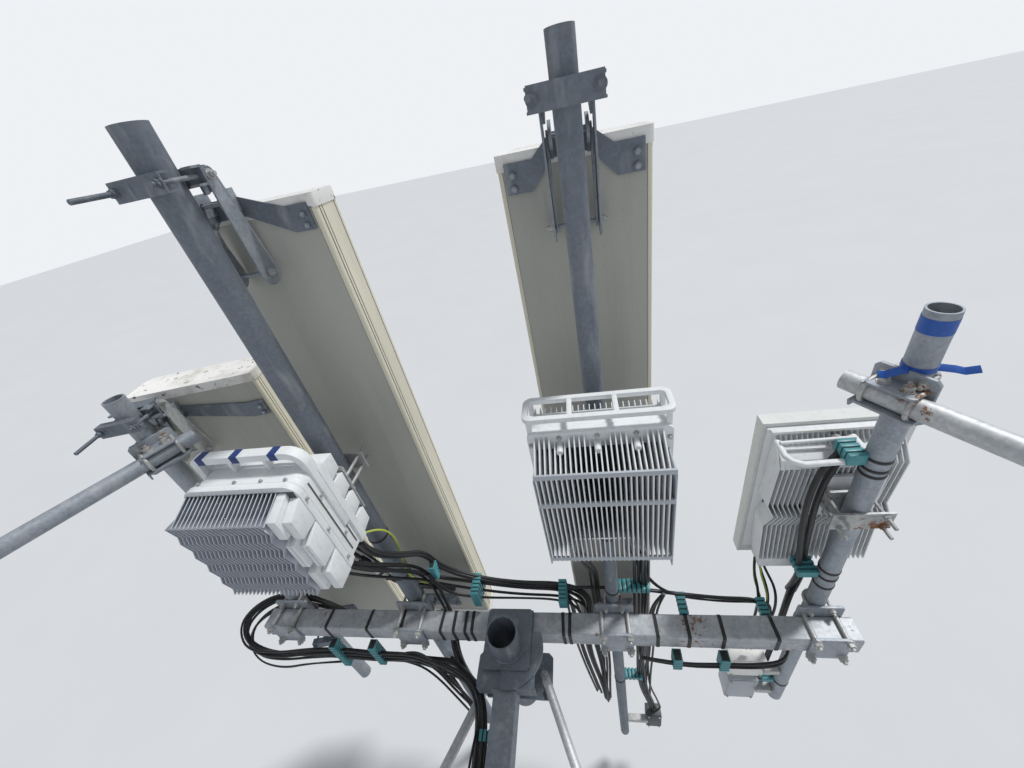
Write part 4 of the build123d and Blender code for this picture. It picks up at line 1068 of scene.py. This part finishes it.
def strandsOf(points, layout, plan, luck):
    # each strand keeps its place about the route, with a slow twist and a little wander
    points = [Vector([value / 1000 for value in p]) for p in points]
    way = (points[1] - points[0]).normalized()
    right = way.orthogonal().normalized()
    strands = [[] for _ in layout]
    for i, p in enumerate(points):
        before = points[max(i, 1)] - points[max(i, 1) - 1]
        after = points[min(i + 1, len(points) - 1)] - points[min(i, len(points) - 2)]
        way = (before.normalized() + after.normalized()).normalized()
        right = (right - way * right.dot(way)).normalized()
        up = way.cross(right)
        for strand, (turn, off, size) in zip(strands, layout):
            t = math.radians(turn + plan["twist"] * i)
            slip = plan["wander"] if off and 0 < i < len(points) - 1 else 0.0
            strand.append((p + right * (off * math.cos(t) + luck.uniform(-slip, slip))
                           + up * (off * math.sin(t) + luck.uniform(-slip, slip)), size))
    return strands


def layCables(name, node, strands, look="black"):
    curve = bpy.data.curves.new(name, "CURVE")
    curve.dimensions = "3D"
    curve.bevel_depth = 0.01
    curve.bevel_resolution = 2
    curve.resolution_u = 5
    curve.use_fill_caps = True
    for strand in strands:
        spline = curve.splines.new("NURBS")
        spline.points.add(len(strand) - 1)
        for spot, (p, size) in zip(spline.points, strand):
            spot.co = (*p, 1)
            spot.radius = size / curve.bevel_depth
        spline.order_u = 3
        spline.use_endpoint_u = True
    return finish(baked(placed(name, curve)), look, [node] if node else [], 50)


luck = random.Random(7)
for node, runs in routes.items():
    laid = []
    for points, kind in runs:
        laid += strandsOf(points, strandPlan[kind], strandPlan, luck)
    layCables(node + "_strands", node, laid)


# Loose jumpers that hang about the routes

loosePlan = [
    # points, then the places of its strands beside them (dx, dy, dz, radius), all in millimetres, and the look
    ([(-560, 1010, 842), (-560, 1012, 760), (-480, 1090, 600), (-408, 1200, 420), (-384, 1236, 250),
      (-372, 1226, 80), (-372, 1218, -60), (-356, 1150, -118), (-320, 1060, -128), (-235, 955, -84),
      (-140, 840, -66), (-112, 700, -48), (-110, 520, -50), (-112, 330, -50), (-108, 190, -52)],
     [(0, 0, 0, 7.5), (-14, 10, -14, 7), (12, -8, -26, 6.5), (-22, -4, -36, 6.5)], "black"),
    ([(-700, 1010, 842), (-695, 1015, 770), (-600, 1050, 660), (-480, 1110, 520), (-420, 1210, 340),
      (-400, 1260, 215), (-166, 1250, 168), (50, 1240, 142), (258, 1250, 110), (350, 1262, 10),
      (352, 1266, -160), (344, 1250, -420), (356, 1240, -700), (390, 1216, -960), (398, 1222, -1180)],
     [(0, 0, 0, 8), (0, 18, -24, 7.5), (6, -8, -44, 6.5)], "black"),
    ([(-1010, 1230, -160), (-1130, 1250, -84), (-1260, 1270, -40), (-1400, 1260, -4), (-1530, 1195, -6),
      (-1606, 1100, -60), (-1560, 1020, -150), (-1400, 1014, -180), (-1200, 1030, -160), (-1000, 1040, -170),
      (-768, 1034, -180), (-560, 1020, -140), (-400, 980, -120), (-280, 940, -78), (-190, 890, -60),
      (-130, 820, -66), (-110, 700, -70), (-106, 520, -68), (-106, 330, -68), (-104, 200, -66)],
     [(0, 0, 0, 7.5), (0, 8, 30, 6.5), (-4, -6, 54, 6), (-6, 6, -60, 6.5)], "black"),
    ([(-640, 1034, -188), (-540, 1026, -160), (-430, 990, -180), (-330, 930, -250), (-262, 900, -390),
      (-210, 850, -400), (-150, 800, -260), (-112, 720, -140), (-108, 560, -84), (-106, 330, -66),
      (-104, 200, -64)],
     [(0, 0, 0, 6), (-4, 10, 60, 6), (-20, -8, -90, 5.5), (-6, 4, 130, 5)], "black"),
    ([(400, 1040, 850), (402, 1050, 720), (424, 1180, 440), (438, 1266, 250), (436, 1270, 60),
      (436, 1264, -150), (448, 1244, -420), (452, 1240, -700), (430, 1222, -960), (424, 1226, -1170)],
     [(0, 0, 0, 7.5), (-20, -6, -8, 7), (-36, 6, 4, 6.5)], "black"),
    ([(556, 1040, 850), (560, 1060, 720), (600, 1180, 520), (606, 1236, 300), (604, 1232, 60),
      (600, 1226, -200), (606, 1230, -460), (606, 1236, -760), (616, 1228, -1000), (668, 1236, -1260),
      (690, 1238, -1396)],
     [(0, 0, 0, 7.5), (18, 8, 0, 7), (36, -4, -10, 7), (58, 10, 6, 6)], "black"),
    ([(250, 1256, 120), (420, 1268, 96), (620, 1266, 92), (816, 1254, 58), (997, 1246, 36), (1150, 1256, 16),
      (1230, 1268, -70), (1236, 1270, -260)],
     [(0, 0, 0, 7.5), (4, 14, -20, 7)], "black"),
    ([(1150, 1336, 232), (1150, 1326, 150), (1168, 1296, 60), (1180, 1272, -20), (1176, 1262, -140),
      (1150, 1230, -300), (1170, 1250, -470)],
     [(0, 0, 0, 6.5), (40, 4, 8, 6), (70, -8, 0, 6)], "black"),
    ([(1168, 1334, 232), (1172, 1320, 150), (1196, 1290, 70), (1216, 1268, -10), (1212, 1256, -150)],
     [(0, 0, 0, 4), (-34, 12, 0, 3.5)], "yellowGreen"),
    ([(-440, 1080, 842), (-400, 1110, 835), (-378, 1150, 740), (-420, 1176, 560), (-474, 1200, 370),
      (-470, 1222, 250), (-420, 1240, 180)],
     [(0, 0, 0, 4.2)], "yellowGreen"),
    ([(-660, 1100, 842), (-664, 1130, 720), (-640, 1180, 500), (-610, 1200, 340), (-560, 1230, 190),
      (-440, 1250, 130), (-300, 1244, 120)],
     [(0, 0, 0, 9), (-18, 10, 10, 8), (16, 16, 30, 7)], "black"),
    ([(620, 1034, -84), (780, 1030, -112), (960, 1036, -118), (1120, 1030, -100), (1230, 1060, -110),
      (1290, 1180, -150), (1284, 1250, -300)],
     [(0, 0, 0, 6.5), (0, -6, -22, 6)], "black"),
    ([(250, 1240, 112), (296, 1232, 40), (304, 1236, -120), (300, 1240, -360), (322, 1232, -640),
      (352, 1228, -900), (372, 1230, -1130)],
     [(0, 0, 0, 7), (-16, 14, 10, 6), (-30, -4, 30, 6.5), (22, 12, 0, 6)], "black"),
    ([(730, 1236, 96), (700, 1240, 20), (676, 1244, -100), (668, 1250, -330), (660, 1246, -600),
      (640, 1240, -880), (640, 1240, -1140)],
     [(0, 0, 0, 6.5), (16, 8, 6, 6.5), (34, -4, 20, 6)], "black"),
]


def makeLoose(plan):
    for i, (points, places, look) in enumerate(plan):
        laid = []
        cut = points[-1][2] < -1100
        for dx, dy, dz, size in places:
            strand = []
            for k, (x, y, z) in enumerate(points):
                # strands gather towards both ends, or stay apart where they are cut off low down
                part = min(1.0, 0.3 + 0.4 * k, 1.0 if cut else 0.3 + 0.4 * (len(points) - 1 - k))
                slip = 4.0 * part
                spot = [value + luck.uniform(-slip, slip)
                        for value in (x + dx * part, y + dy * part, z + dz * part)]
                strand.append((Vector(spot) / 1000, size / 1000))
            laid.append(strand)
        layCables(f"jumpers_{i + 1}", None, laid, look)


makeLoose(loosePlan)


# Tape marks on a cable, and the plug they sit on

plugPlan = {"from": (-0.642, 1.178, 0.512), "to": (-0.602, 1.212, 0.292), "radius": 0.0165, "tape": 0.0012,
            "marks": [("navy", 0.10, 0.24), ("yellow", 0.26, 0.42), ("boxWhite", 0.46, 0.62),
                      ("boxWhite", 0.72, 0.90)]}


def makePlug(plan):
    a, b = Vector(plan["from"]), Vector(plan["to"])
    rings = [("plug", "black", 0.0, 1.0, 0.0)]
    rings += [(f"plug_mark_{i + 1}", *mark, plan["tape"]) for i, mark in enumerate(plan["marks"])]
    for name, look, start, end, more in rings:
        ring = Shape()
        ring.bar(a.lerp(b, start), a.lerp(b, end), plan["radius"] + more, 18)
        ring.piece(name, look, angle=50, slot="cable_black")


makePlug(plugPlan)


# Hangers: stacks of snap-in blocks on a dark core

hangerPlan = {"blocks": [
    ((-186, 1171.2, 92), (-146, 1288, 208)), ((242, 1171.2, 86), (282, 1288, 150)),
    ((796, 1171.2, 22), (836, 1276, 60)), ((1152, 1171.2, -14), (1192, 1272, 22)),
    ((-1020, 1018, -282), (-980, 1069, -51.1)), ((-788, 1018, -246), (-748, 1069, -51.1)),
    ((740, 1016, -148), (780, 1069, -51.1)), ((940, 1020, -158), (980, 1069, -51.1)),
    ((-106, 680, -50), (-51.1, 720, -10)), ((-106, 330, -106), (-51.1, 370, -10)),
    ((528.5, 1204, 165), (676, 1256, 200)), ((528.5, 1206, -836), (634, 1260, -800)),
    ((1274, 1206, -776), (1331.2, 1284, -740)), ((1256, 1206, 292), (1331.2, 1290, 328)),
    ((1276, 1206, 950), (1331.2, 1296, 994)), ((-368, 1212, 270), (-336, 1256, 372))],
    "pitch": 0.021, "share": 0.72, "inset": 0.005}


def makeHangers(plan):
    slabs, cores = Shape(), Shape()
    for low, high in plan["blocks"]:
        low, high = Vector(low) / 1000, Vector(high) / 1000
        sides = high - low
        run = max(range(3), key=lambda i: sides[i])
        count = max(2, round(sides[run] / plan["pitch"]))
        for i in range(count):
            a, b = low.copy(), high.copy()
            a[run] = low[run] + sides[run] * i / count
            b[run] = a[run] + sides[run] * plan["share"] / count
            slabs.box(a, b)
        inset = Vector((plan["inset"],) * 3)
        cores.box(low + inset, high - inset)
    slabs.piece("hanger_blocks", "teal", ["hangers"], 0.002)
    cores.piece("hanger_cores", "blackTie")


tieSpots = {
    "tube": [-1.008, -0.768, -0.578, -0.360, -0.294, -0.234, -0.198, 0.254, 0.286, 0.680, 0.816, 0.960, 1.172],
    "strap": {"Side": 0.1046, "Width": 0.0150, "Thick": 0.0024, "Askew": 0.05, "Seed": 4}, "wide": 0.010,
    "thick": 0.0024, "masts": {"right": (0.93, 0.905, 0.345, 0.300, 0.24, 0.972, -0.756),
                               "middle": (0.182, -0.818, 0.60, -0.20), "left": (0.62, 0.31)},
}


def makeTies(plan):
    # ties round the face tube, then round the masts
    middle = (tubeLow.y + tubeHigh.y) / 2
    line = lineMesh("tube_ties", [(x, middle, 0) for x in plan["tube"]])
    finish(tieTree.grow("tube_ties", plan["strap"], "blackTie", line), "blackTie")
    rings = Shape()
    for name, heights in plan["masts"].items():
        (x, y, _), radius, _ = masts[name]
        for z in heights:
            rings.bar((x, y, z), (x, y, z + plan["wide"]), radius + plan["thick"], 28, radius - snug)
    rings.piece("mast_ties", "blackTie")


makeHangers(hangerPlan)
makeTies(tieSpots)
print("stage: cables, hangers and ties")


# Radios and the active antenna

def growFins(name, line, count, pitch, wall, look, stands=()):
    # line is the root of one fin: each point is (x, y, z, reach x, reach y, reach z)
    edges = [(i, i + 1) for i in range(len(line) - 1)]
    base = lineMesh(name, [p[:3] for p in line], edges, "reach", [p[3:] for p in line])
    return finish(finTree.grow(name, {"Fins": count, "Pitch": pitch}, look, base, wall), look, stands, 30)


def rounded(x0, x1, z0, z1, r, steps, low):
    # a rectangle with round corners; low gives the lower pair its own round
    points = []
    for i, (cx, cz, size) in enumerate(((x1 - r, z1 - r, r), (x0 + r, z1 - r, r), (x0 + low, z0 + low, low),
                                        (x1 - low, z0 + low, low))):
        points += arc(cx, cz, size, math.pi / 2 * i, math.pi / 2 * (i + 1), steps)
    return points


def arch(x0, x1, z0, z1, rounds, thick, steps=7):
    # a hoop with two round corners, open at its foot; rounds gives the right one, then the left one
    outer, inner = [(x1, z0)], [(x1 - thick, z0)]
    for i, (r, cx) in enumerate(((rounds[0], x1 - rounds[0]), (rounds[1], x0 + rounds[1]))):
        for side, size in ((outer, r), (inner, r - thick)):
            side += arc(cx, z1 - r, size, math.pi / 2 * i, math.pi / 2 * (i + 1), steps)
    return outer + [(x0, z0), (x0 + thick, z0)] + inner[:0:-1] + [(x1 - thick, z0)]


def makeShells(body, plan):
    # the case in layers: how far each stands in at its sides, foot and head, its round, and its two depths
    (x0, x1), (z0, z1), (steps, low) = plan["x"], plan["z"], plan["round"]
    for side, foot, head, r, y0, y1 in plan["shells"]:
        body.flat(rounded(x0 + side, x1 - side, z0 + foot, z1 - head, r, steps, low), y0, y1)


def makeRods(name, mast, heights, spans, aside=0.030, r=0.0064):
    # threaded ends of a bracket's bolts beside a mast, before or behind it
    centre, radius, _ = masts[mast]
    rods = Shape()
    for side in (-1, 1):
        x = centre.x + side * (radius + aside)
        for z in heights:
            for way, start, end in spans:
                y = centre.y + way * radius
                rods.thread((x, y + start, z), (x, y + end, z), r)
    rods.piece(name, "zinc")


leftPlan = {
    "x": (-0.850, -0.420), "z": (0.842, 1.285), "tips": 0.830, "web": 0.930, "rear": 1.070, "round": (7, 0.018),
    "shells": [(0, 0, 0, 0.046, 0.930, 0.954), (0.003, 0, 0.003, 0.046, 0.957, 0.970),
               (0.010, 0.006, 0.010, 0.040, 0.940, 1.065), (0, 0, 0.002, 0.046, 1.040, 1.070)],
    # the hoop's foot, top, rounds, thickness and depths
    "handle": (0.140, 1.346, (0.062, 0.027), 0.026, 1.014, 1.052),
    "fins": 22, "pitch": 0.0162, "rows": 11, "sway": 0.0180, "finFrom": -0.846, "finTop": 1.268, "wall": 0.0026,
    "finFoot": 0.006, "drop": -0.040, "comb": (19, 0.0158, 0.0036), "combLine": (9, 0.86, 0.045, 0.056),
    "columns": [(-0.488, -0.457, 0.004), (-0.455, -0.423, 0.020)], "slope": 0.030, "split": 0.002,
    "blocks": [(1.150, 1.262), (1.002, 1.146), (0.866, 0.998)], "pods": (4, 0.866, 0.096, -0.545, 0.122),
    "tapes": (-0.803, -0.669, -0.523), "slots": [0.985, 1.018], "ribs": (-0.704, -0.570), "screw": 0.0052,
    "bolts": [(0.944, 1.215), (0.944, 1.06), (0.944, 0.90), (1.002, 1.16), (1.002, 0.96), (1.052, 1.05)],
    "topBolts": (-0.80, -0.66, -0.56, -0.47), "rods": (1.025, 1.075),
}


def makeCovers(plan):
    # the stepped covers beside the fins, and the pods behind the case
    web, rear = plan["web"], plan["rear"]
    covers = Shape()
    for row, (low, high) in enumerate(plan["blocks"]):
        for column, (left, right, sink) in enumerate(plan["columns"]):
            drop, front = 0.022 * column, plan["tips"] + 0.008 + sink
            middle, gap = left + (right - left) / 2, plan["split"]
            lanes = [(left, middle - gap), (middle + gap, right)] if row == 1 else [(left, right)]
            outline = [(web, low - drop), (front, low - drop), (front, high - drop - plan["slope"]),
                       (web, high - drop)]
            for a, b in lanes:
                covers.across(outline, a, b - a)
    count, first, pitch, x, wide = plan["pods"]
    for i in range(count):
        low = first + i * pitch
        outline = [(rear, low), (rear + 0.056, low + 0.010), (rear + 0.058, low + 0.080), (rear, low + 0.086)]
        covers.across(outline, x, wide)
    covers.piece("left_radio_covers", "radio", bevel=0.0016, angle=25)


def makeLeftRadio(plan):
    (x0, x1), (z0, z1), web, rear = plan["x"], plan["z"], plan["web"], plan["rear"]
    body = Shape()
    makeShells(body, plan)
    foot, top, rounds, thick, near, far = plan["handle"]
    body.flat(arch(x0 + 0.002, x1 - 0.002, z0 + foot, top, rounds, thick), near, far)
    for x in plan["ribs"]:
        body.box((x - 0.006, 1.018, z1 - 0.012), (x + 0.006, 1.046, 1.325))
    body.piece("left_radio_case", "radio", ["left_radio_body"], 0.0022)

    rows, low = plan["rows"], z0 + plan["finFoot"]
    step = (plan["finTop"] - z0 - plan["finFoot"]) / rows
    line = [(plan["finFrom"] + plan["sway"] * (i % 2), web, low + i * step, 0, plan["tips"] - web,
             plan["drop"] if i == rows else 0.0) for i in range(rows + 1)]
    growFins("left_radio_herringbone", line, plan["fins"], plan["pitch"], plan["wall"], "radioShade",
             ["left_radio_fins"])
    count, first, pitch, reach = plan["combLine"]
    line = [(x0 + 0.006 + 0.006 * (i % 2), rear, first + pitch * i, 0, reach, 0) for i in range(count)]
    growFins("left_radio_rear_comb", line, *plan["comb"], "radio", ["left_radio_rear_fins"])

    makeCovers(plan)
    # a dark sheet behind the herringbone: painted shade between the fins
    blocks("left_radio_roots", "finRootShade", [((x0 + 0.012, web - 0.002, z0 + 0.012),
                                            (x1 - 0.012, web, plan["finTop"] - 0.004))])
    blocks("left_radio_slots", "seam", [((x1 - 0.0105, y, 0.880), (x1 - 0.0092, y + 0.0070, 1.236))
                                        for y in plan["slots"]], slot="radio_alloy")
    blocks("left_radio_tapes", "navy", [((x - 0.015, near - 0.0008, 1.3195), (x + 0.015, far + 0.0008, 1.3468))
                                        for x in plan["tapes"]], bevel=0.0008, slot="radio_alloy")
    nuts = BoltList("left_radio_screws")
    for y, z in plan["bolts"]:
        nuts.put(plan["screw"], (x1 - (0.0 if y < 0.95 else 0.010), y, z), (1, 0, 0), 0.001)
    for x in plan["topBolts"]:
        nuts.put(plan["screw"], (x, web + 0.033, z1 - 0.003), (0, 0, 1), 0.001)
    nuts.make()
    makeRods("left_radio_rods", "left", plan["rods"], ((1, 0.018, 0.060), (-1, -0.034, -0.012)))


middlePlan = {
    "x": (0.306, 0.690), "z": (0.887, 1.362), "tips": 0.900, "web": 1.000, "rear": 1.100, "round": (6, 0.018),
    "shells": [(0, 0, 0, 0.018, 1.000, 1.030), (0.003, 0, 0.004, 0.018, 1.033, 1.048),
               (0.006, 0, 0.007, 0.018, 1.02, 1.100)],
    "groups": [(0, 4, 0.0), (4, 3, 1.0), (7, 4, 0.0), (11, 4, 1.0), (15, 4, 0.0), (19, 3, 1.0), (22, 4, 0.0)],
    "pitch": 0.0134, "from": 0.3275, "slope": -0.052, "short": 0.020, "wall": 0.0036,
    "rails": [(1.291, 1.307), (1.180, 1.196), (0.930, 0.946)], "ring": 1.400, "ringThick": 0.015,
    "ringOuter": (0.008, 1.006, 1.109, 0.026), "ringInner": (-0.008, 1.024, 1.092, 0.014), "bars": (0.428, 0.551),
    "legs": (1.014, 1.100), "sideScrews": (1.325, 1.20, 1.05, 0.93), "comb": (23, 0.018, 0.0158, 0.024),
    "glands": (6, 0.060, 0.052, 1.040), "glandSizes": [(0.002, -0.040, 0.0125, 16), (-0.010, -0.028, 0.0155, 6)],
}


def makeMiddleRadio(plan):
    (x0, x1), (z0, z1), web, rear, tips = plan["x"], plan["z"], plan["web"], plan["rear"], plan["tips"]
    body = Shape()
    makeShells(body, plan)
    outer, inner = [rounded(x0 - out, x1 + out, y0, y1, r, 7, r)
                    for out, y0, y1, r in (plan["ringOuter"], plan["ringInner"])]
    low = plan["ring"] - plan["ringThick"] / 2
    body.hoop(outer, inner, low, low + plan["ringThick"])
    for x in plan["bars"]:
        body.box((x - 0.007, 1.020, plan["ring"] - 0.006), (x + 0.007, 1.096, plan["ring"] + 0.006))
    for x in (x0 + 0.010, x1 - 0.010):
        for y in plan["legs"]:
            body.box((x - 0.007, y - 0.006, z1 - 0.010), (x + 0.007, y + 0.006, plan["ring"] - 0.006))
    body.piece("middle_radio_case", "radio", ["middle_radio_body"], 0.0022)

    stands = ["middle_radio_fins"]
    for i, (first, count, short) in enumerate(plan["groups"]):
        less = short * plan["short"]
        x, reach = plan["from"] + first * plan["pitch"], tips - web
        line = [(x, web, z0 + 0.040, 0, reach, 0), (x, web, z1 - 0.008 - less, 0, reach, plan["slope"] + less)]
        growFins(f"middle_radio_fins_{i + 1}", line, count, plan["pitch"], plan["wall"], "radio", stands)
        stands = ()
    count, inset, pitch, reach = plan["comb"]
    spots = [x0 + inset + pitch * i for i in range(count)]
    blocks("middle_radio_rear_comb", "radio", [((x - 0.0012, rear, 0.93), (x + 0.0012, rear + reach, z1 - 0.006))
                                               for x in spots])
    # a dark sheet behind the fins: painted shade between the fins
    blocks("middle_radio_roots", "finRootShade", [((x0 + 0.016, web - 0.002, z0 + 0.012),
                                              (x1 - 0.020, web, z1 - 0.055))])
    rails = [((x0 + 0.016, tips - 0.0005, low), (x1 - 0.012, tips + 0.007, high)) for low, high in plan["rails"]]
    rails += [((x0 + 0.010, tips + 0.012, z0 + 0.006), (x0 + 0.014, web, z1 - 0.09)),
              ((x1 - 0.014, tips + 0.004, z0 + 0.006), (x1 - 0.010, web, z1 - 0.075))]
    blocks("middle_radio_rails", "radioGrey", rails, bevel=0.0012)
    bosses = Shape()
    nuts = BoltList("middle_radio_screws")
    for first, count, short in plan["groups"]:
        if short:
            x = plan["from"] + (first + count / 2 - 0.5) * plan["pitch"]
            bosses.bar((x, web, z1 - 0.040), (x, web - 0.036, z1 - 0.040), 0.009, 20)
            nuts.put(0.0058, (x, web, z1 - 0.016), (0, -1, 0), 0.001)
    for x in (x0 + 0.010, x1 - 0.010):
        for z in plan["sideScrews"]:
            nuts.put(0.0056, (x, web, z), (0, -1, 0), 0.001)
    bosses.piece("middle_radio_bosses", "radio", bevel=0.002)
    nuts.make()
    glands = Shape()
    count, inset, pitch, y = plan["glands"]
    for i in range(count):
        x = x0 + inset + i * pitch
        for top, end, r, sides in plan["glandSizes"]:
            glands.bar((x, y, z0 + top), (x, y, z0 + end), r, sides)
    glands.piece("middle_radio_glands", "boxDark", slot="radio_alloy")


activePlan = {
    "sink": (1.120, 1.560), "z": (0.270, 0.960), "web": 1.386, "tips": 1.300, "fins": 24, "pitch": 0.0176,
    "wall": 0.0036, "drop": -0.104,
    "line": [(0.004, 0.275), (-0.012, 0.515), (0.018, 0.565), (-0.012, 0.635), (-0.004, 0.955)],
    "handle": [(1.122, 1.330, 0.955), (1.122, 1.262, 0.950), (1.136, 1.240, 0.948), (1.165, 1.226, 0.946),
               (1.315, 1.226, 0.952), (1.340, 1.236, 0.956), (1.352, 1.262, 0.960), (1.352, 1.330, 0.960)],
    "rear": [(1.122, 1.312, 0.966), (1.352, 1.312, 0.972)], "hood": [(0.915, 0), (0.880, 0.080), (0.838, 0.086)],
    "glands": [((1.316, 1.330, 0.945), (1.298, 1.268, 0.972)), ((1.350, 1.332, 0.930), (1.316, 1.280, 0.940))],
    "glandSizes": [(-0.004, 0.060, 0.0125, 18), (0.006, 0.030, 0.0155, 6)], "rods": (0.675, 0.725),
}


def makeActive(plan):
    (x0, x1), (z0, z1), web = plan["sink"], plan["z"], plan["web"]
    line = [(x0 + 0.020 + dx, web, z, 0, plan["tips"] - web, plan["drop"] if i == len(plan["line"]) - 1 else 0)
            for i, (dx, z) in enumerate(plan["line"])]
    growFins("active_chevrons", line, plan["fins"], plan["pitch"], plan["wall"], "radio", ["active_fins"])
    # a dark sheet behind the chevrons: painted shade between the fins
    blocks("active_roots", "finRootShade", [((x0 + 0.030, web - 0.002, z0 + 0.012), (x1 - 0.020, web, z1 - 0.120))])
    case = Shape()
    case.box((x0 - 0.008, web, z0 - 0.02), (x1 + 0.008, 1.400, z1 + 0.004))
    case.box((x0, web - 0.020, z1 - 0.006), (x1, web, z1 + 0.006))
    case.box((x0 + 0.035, web - 0.050, z1 - 0.060), (x1 - 0.03, web, z1 - 0.052))
    case.box((x0 + 0.030, 1.300, z0 - 0.050), (x0 + 0.210, web, z0 + 0.006))
    case.across([(web - out, z) for z, out in plan["hood"]] + [(web, plan["hood"][-1][0])], x0 + 0.020, 0.235)
    case.box((1.250, 1.290, 0.590), (1.490, 1.304, 0.800))
    case.piece("active_case", "radio", bevel=0.003)
    grip = Shape()
    grip.path(plan["handle"], 0.0105, 12, 0.0150)
    grip.path(plan["rear"], 0.007, 12, 0.010)
    grip.piece("active_handle", "radio", angle=50)
    ends = Shape()
    for start, after in plan["glands"]:
        a = Vector(start)
        way = (a - Vector(after)).normalized()
        for near, far, r, sides in plan["glandSizes"]:
            ends.bar(a + way * near, a + way * far, r, sides)
    ends.piece("active_glands", "zinc")
    blocks("active_label", "cream", [((1.222, web - 0.0205, z1 + 0.0005), (1.352, web - 0.0200, z1 + 0.0055))],
           slot="radio_alloy")
    makeRods("active_rods", "right", plan["rods"], ((-1, -0.060, -0.018), (1, 0.012, 0.034)))


makeLeftRadio(leftPlan)
makeMiddleRadio(middlePlan)
makeActive(activePlan)
print("stage: radios")


# Tape and ribbon on the right mast

tapePlan = {"wraps": [(0.062, 0.020, 0.0008), (0.175, 0.160, 0.0020)], "knot": 0.168,
            "ends": ((-1, 0.0), (1, -0.012)), "ribbon": [
                (0.030, -0.012, 0.010), (0.060, -0.006, -0.004), (0.085, -0.016, 0.006)],
            "half": 0.0105, "thick": 0.0012}


def makeTape(plan):
    (x, y, _), radius, top = masts["right"]
    tape = Shape()
    for low, high, thick in plan["wraps"]:
        tape.bar((x, y, top - low), (x, y, top - high), radius + thick, 40, radius - snug)
    for side, rise in plan["ends"]:
        start = Vector((x + side * radius * 0.9, y - radius * 0.5, top - plan["knot"]))
        points = [start] + [start + Vector((side * dx, dy, dz + rise)) for dx, dy, dz in plan["ribbon"]]
        tape.path(points, plan["half"], 8, plan["thick"])
    tape.piece("mast_tape", "blue", angle=50)


makeTape(tapePlan)


# Small boxes on the masts

boxPlan = [
    # look, low corner, high corner, stem's low corner, stem's high corner
    ("boxWhite", (1.088, 1.2094, -0.702), (1.266, 1.3194, -0.522), (1.256, 1.1894, -0.632),
     (1.3312, 1.2394, -0.592)),
    ("radioGrey", (1.100, 1.2094, -1.012), (1.260, 1.3194, -0.772), (1.250, 1.1894, -0.882),
     (1.3312, 1.2394, -0.842)),
    ("boxDark", (0.648, 1.2031, -1.600), (0.748, 1.2731, -1.400), (0.5285, 1.1931, -1.520),
     (0.658, 1.2331, -1.480)),
]


def makeBoxes(plan):
    lid, rim, corner, screw = 0.004, 0.006, 0.016, 0.0045
    for i, (look, low, high, foot, end) in enumerate(plan):
        cover = (low[0] + rim, low[1] - lid, low[2] + rim), (high[0] - rim, low[1], high[2] - rim)
        blocks(f"box_{i + 1}", look, [(low, high), cover], stands=() if i else ["junction_boxes"], bevel=0.004,
               slot="box_grey")
        blocks(f"box_stem_{i + 1}", "zinc", [(foot, end)], bevel=0.002)
        screws = BoltList(f"box_screws_{i + 1}")
        for x in (low[0] + corner, high[0] - corner):
            for z in (low[2] + corner, high[2] - corner):
                screws.put(screw, (x, low[1] - lid, z), (0, -1, 0), 0.001)
        screws.make()


makeBoxes(boxPlan)
print("stage: small parts")


# Finishes of the frame's own pieces

def dress(node, look):
    mesh = nodes[node].data
    if not mesh.materials:
        mesh.materials.append(looks[look])
    for slot in nodes[node].material_slots:
        slot.material = looks[look]


finishes = {"active_bracket": "rustEdge", "active_panel": "panel", "standoff_arm": "steelArmShaded",
            "face_tube": "steelWorn", "left_radio_bracket": "zinc", "middle_radio_bracket": "zinc"}
groups = {
    "steel": ["tower_bracket", "mast_far_left", "mast_right", "tie_pipe_left", "tie_clamp_left",
              "tie_clamp_right"],
    "steelDark": ["arm_saddle", "post_collar", "centre_post", "strut_lug", "mast_left", "mast_middle"],
    "steelPale": ["strut_left", "strut_right", "tie_pipe_right"],
    "radio": ["left_radio_fins", "left_radio_body", "left_radio_rear_fins", "middle_radio_fins",
              "middle_radio_body"],
}
for look, names in groups.items():
    finishes.update(dict.fromkeys(names, look))
for name in masts:
    finishes["crossover_" + name] = "steel"
antennaFinishes = {"radome": "cream", "back": "back", "end_caps": "cap", "mast_clamps": "steelDark",
                   "upper_links": "steelPale", "lower_links": "steel", "tilt_plates": "steelDark"}
for name in antennaPlan:
    finishes.update({f"{name}_{part}": look for part, look in antennaFinishes.items()})
for name in nodes:
    dress(name, finishes.get(name, "black"))
print("stage: frame pieces dressed")
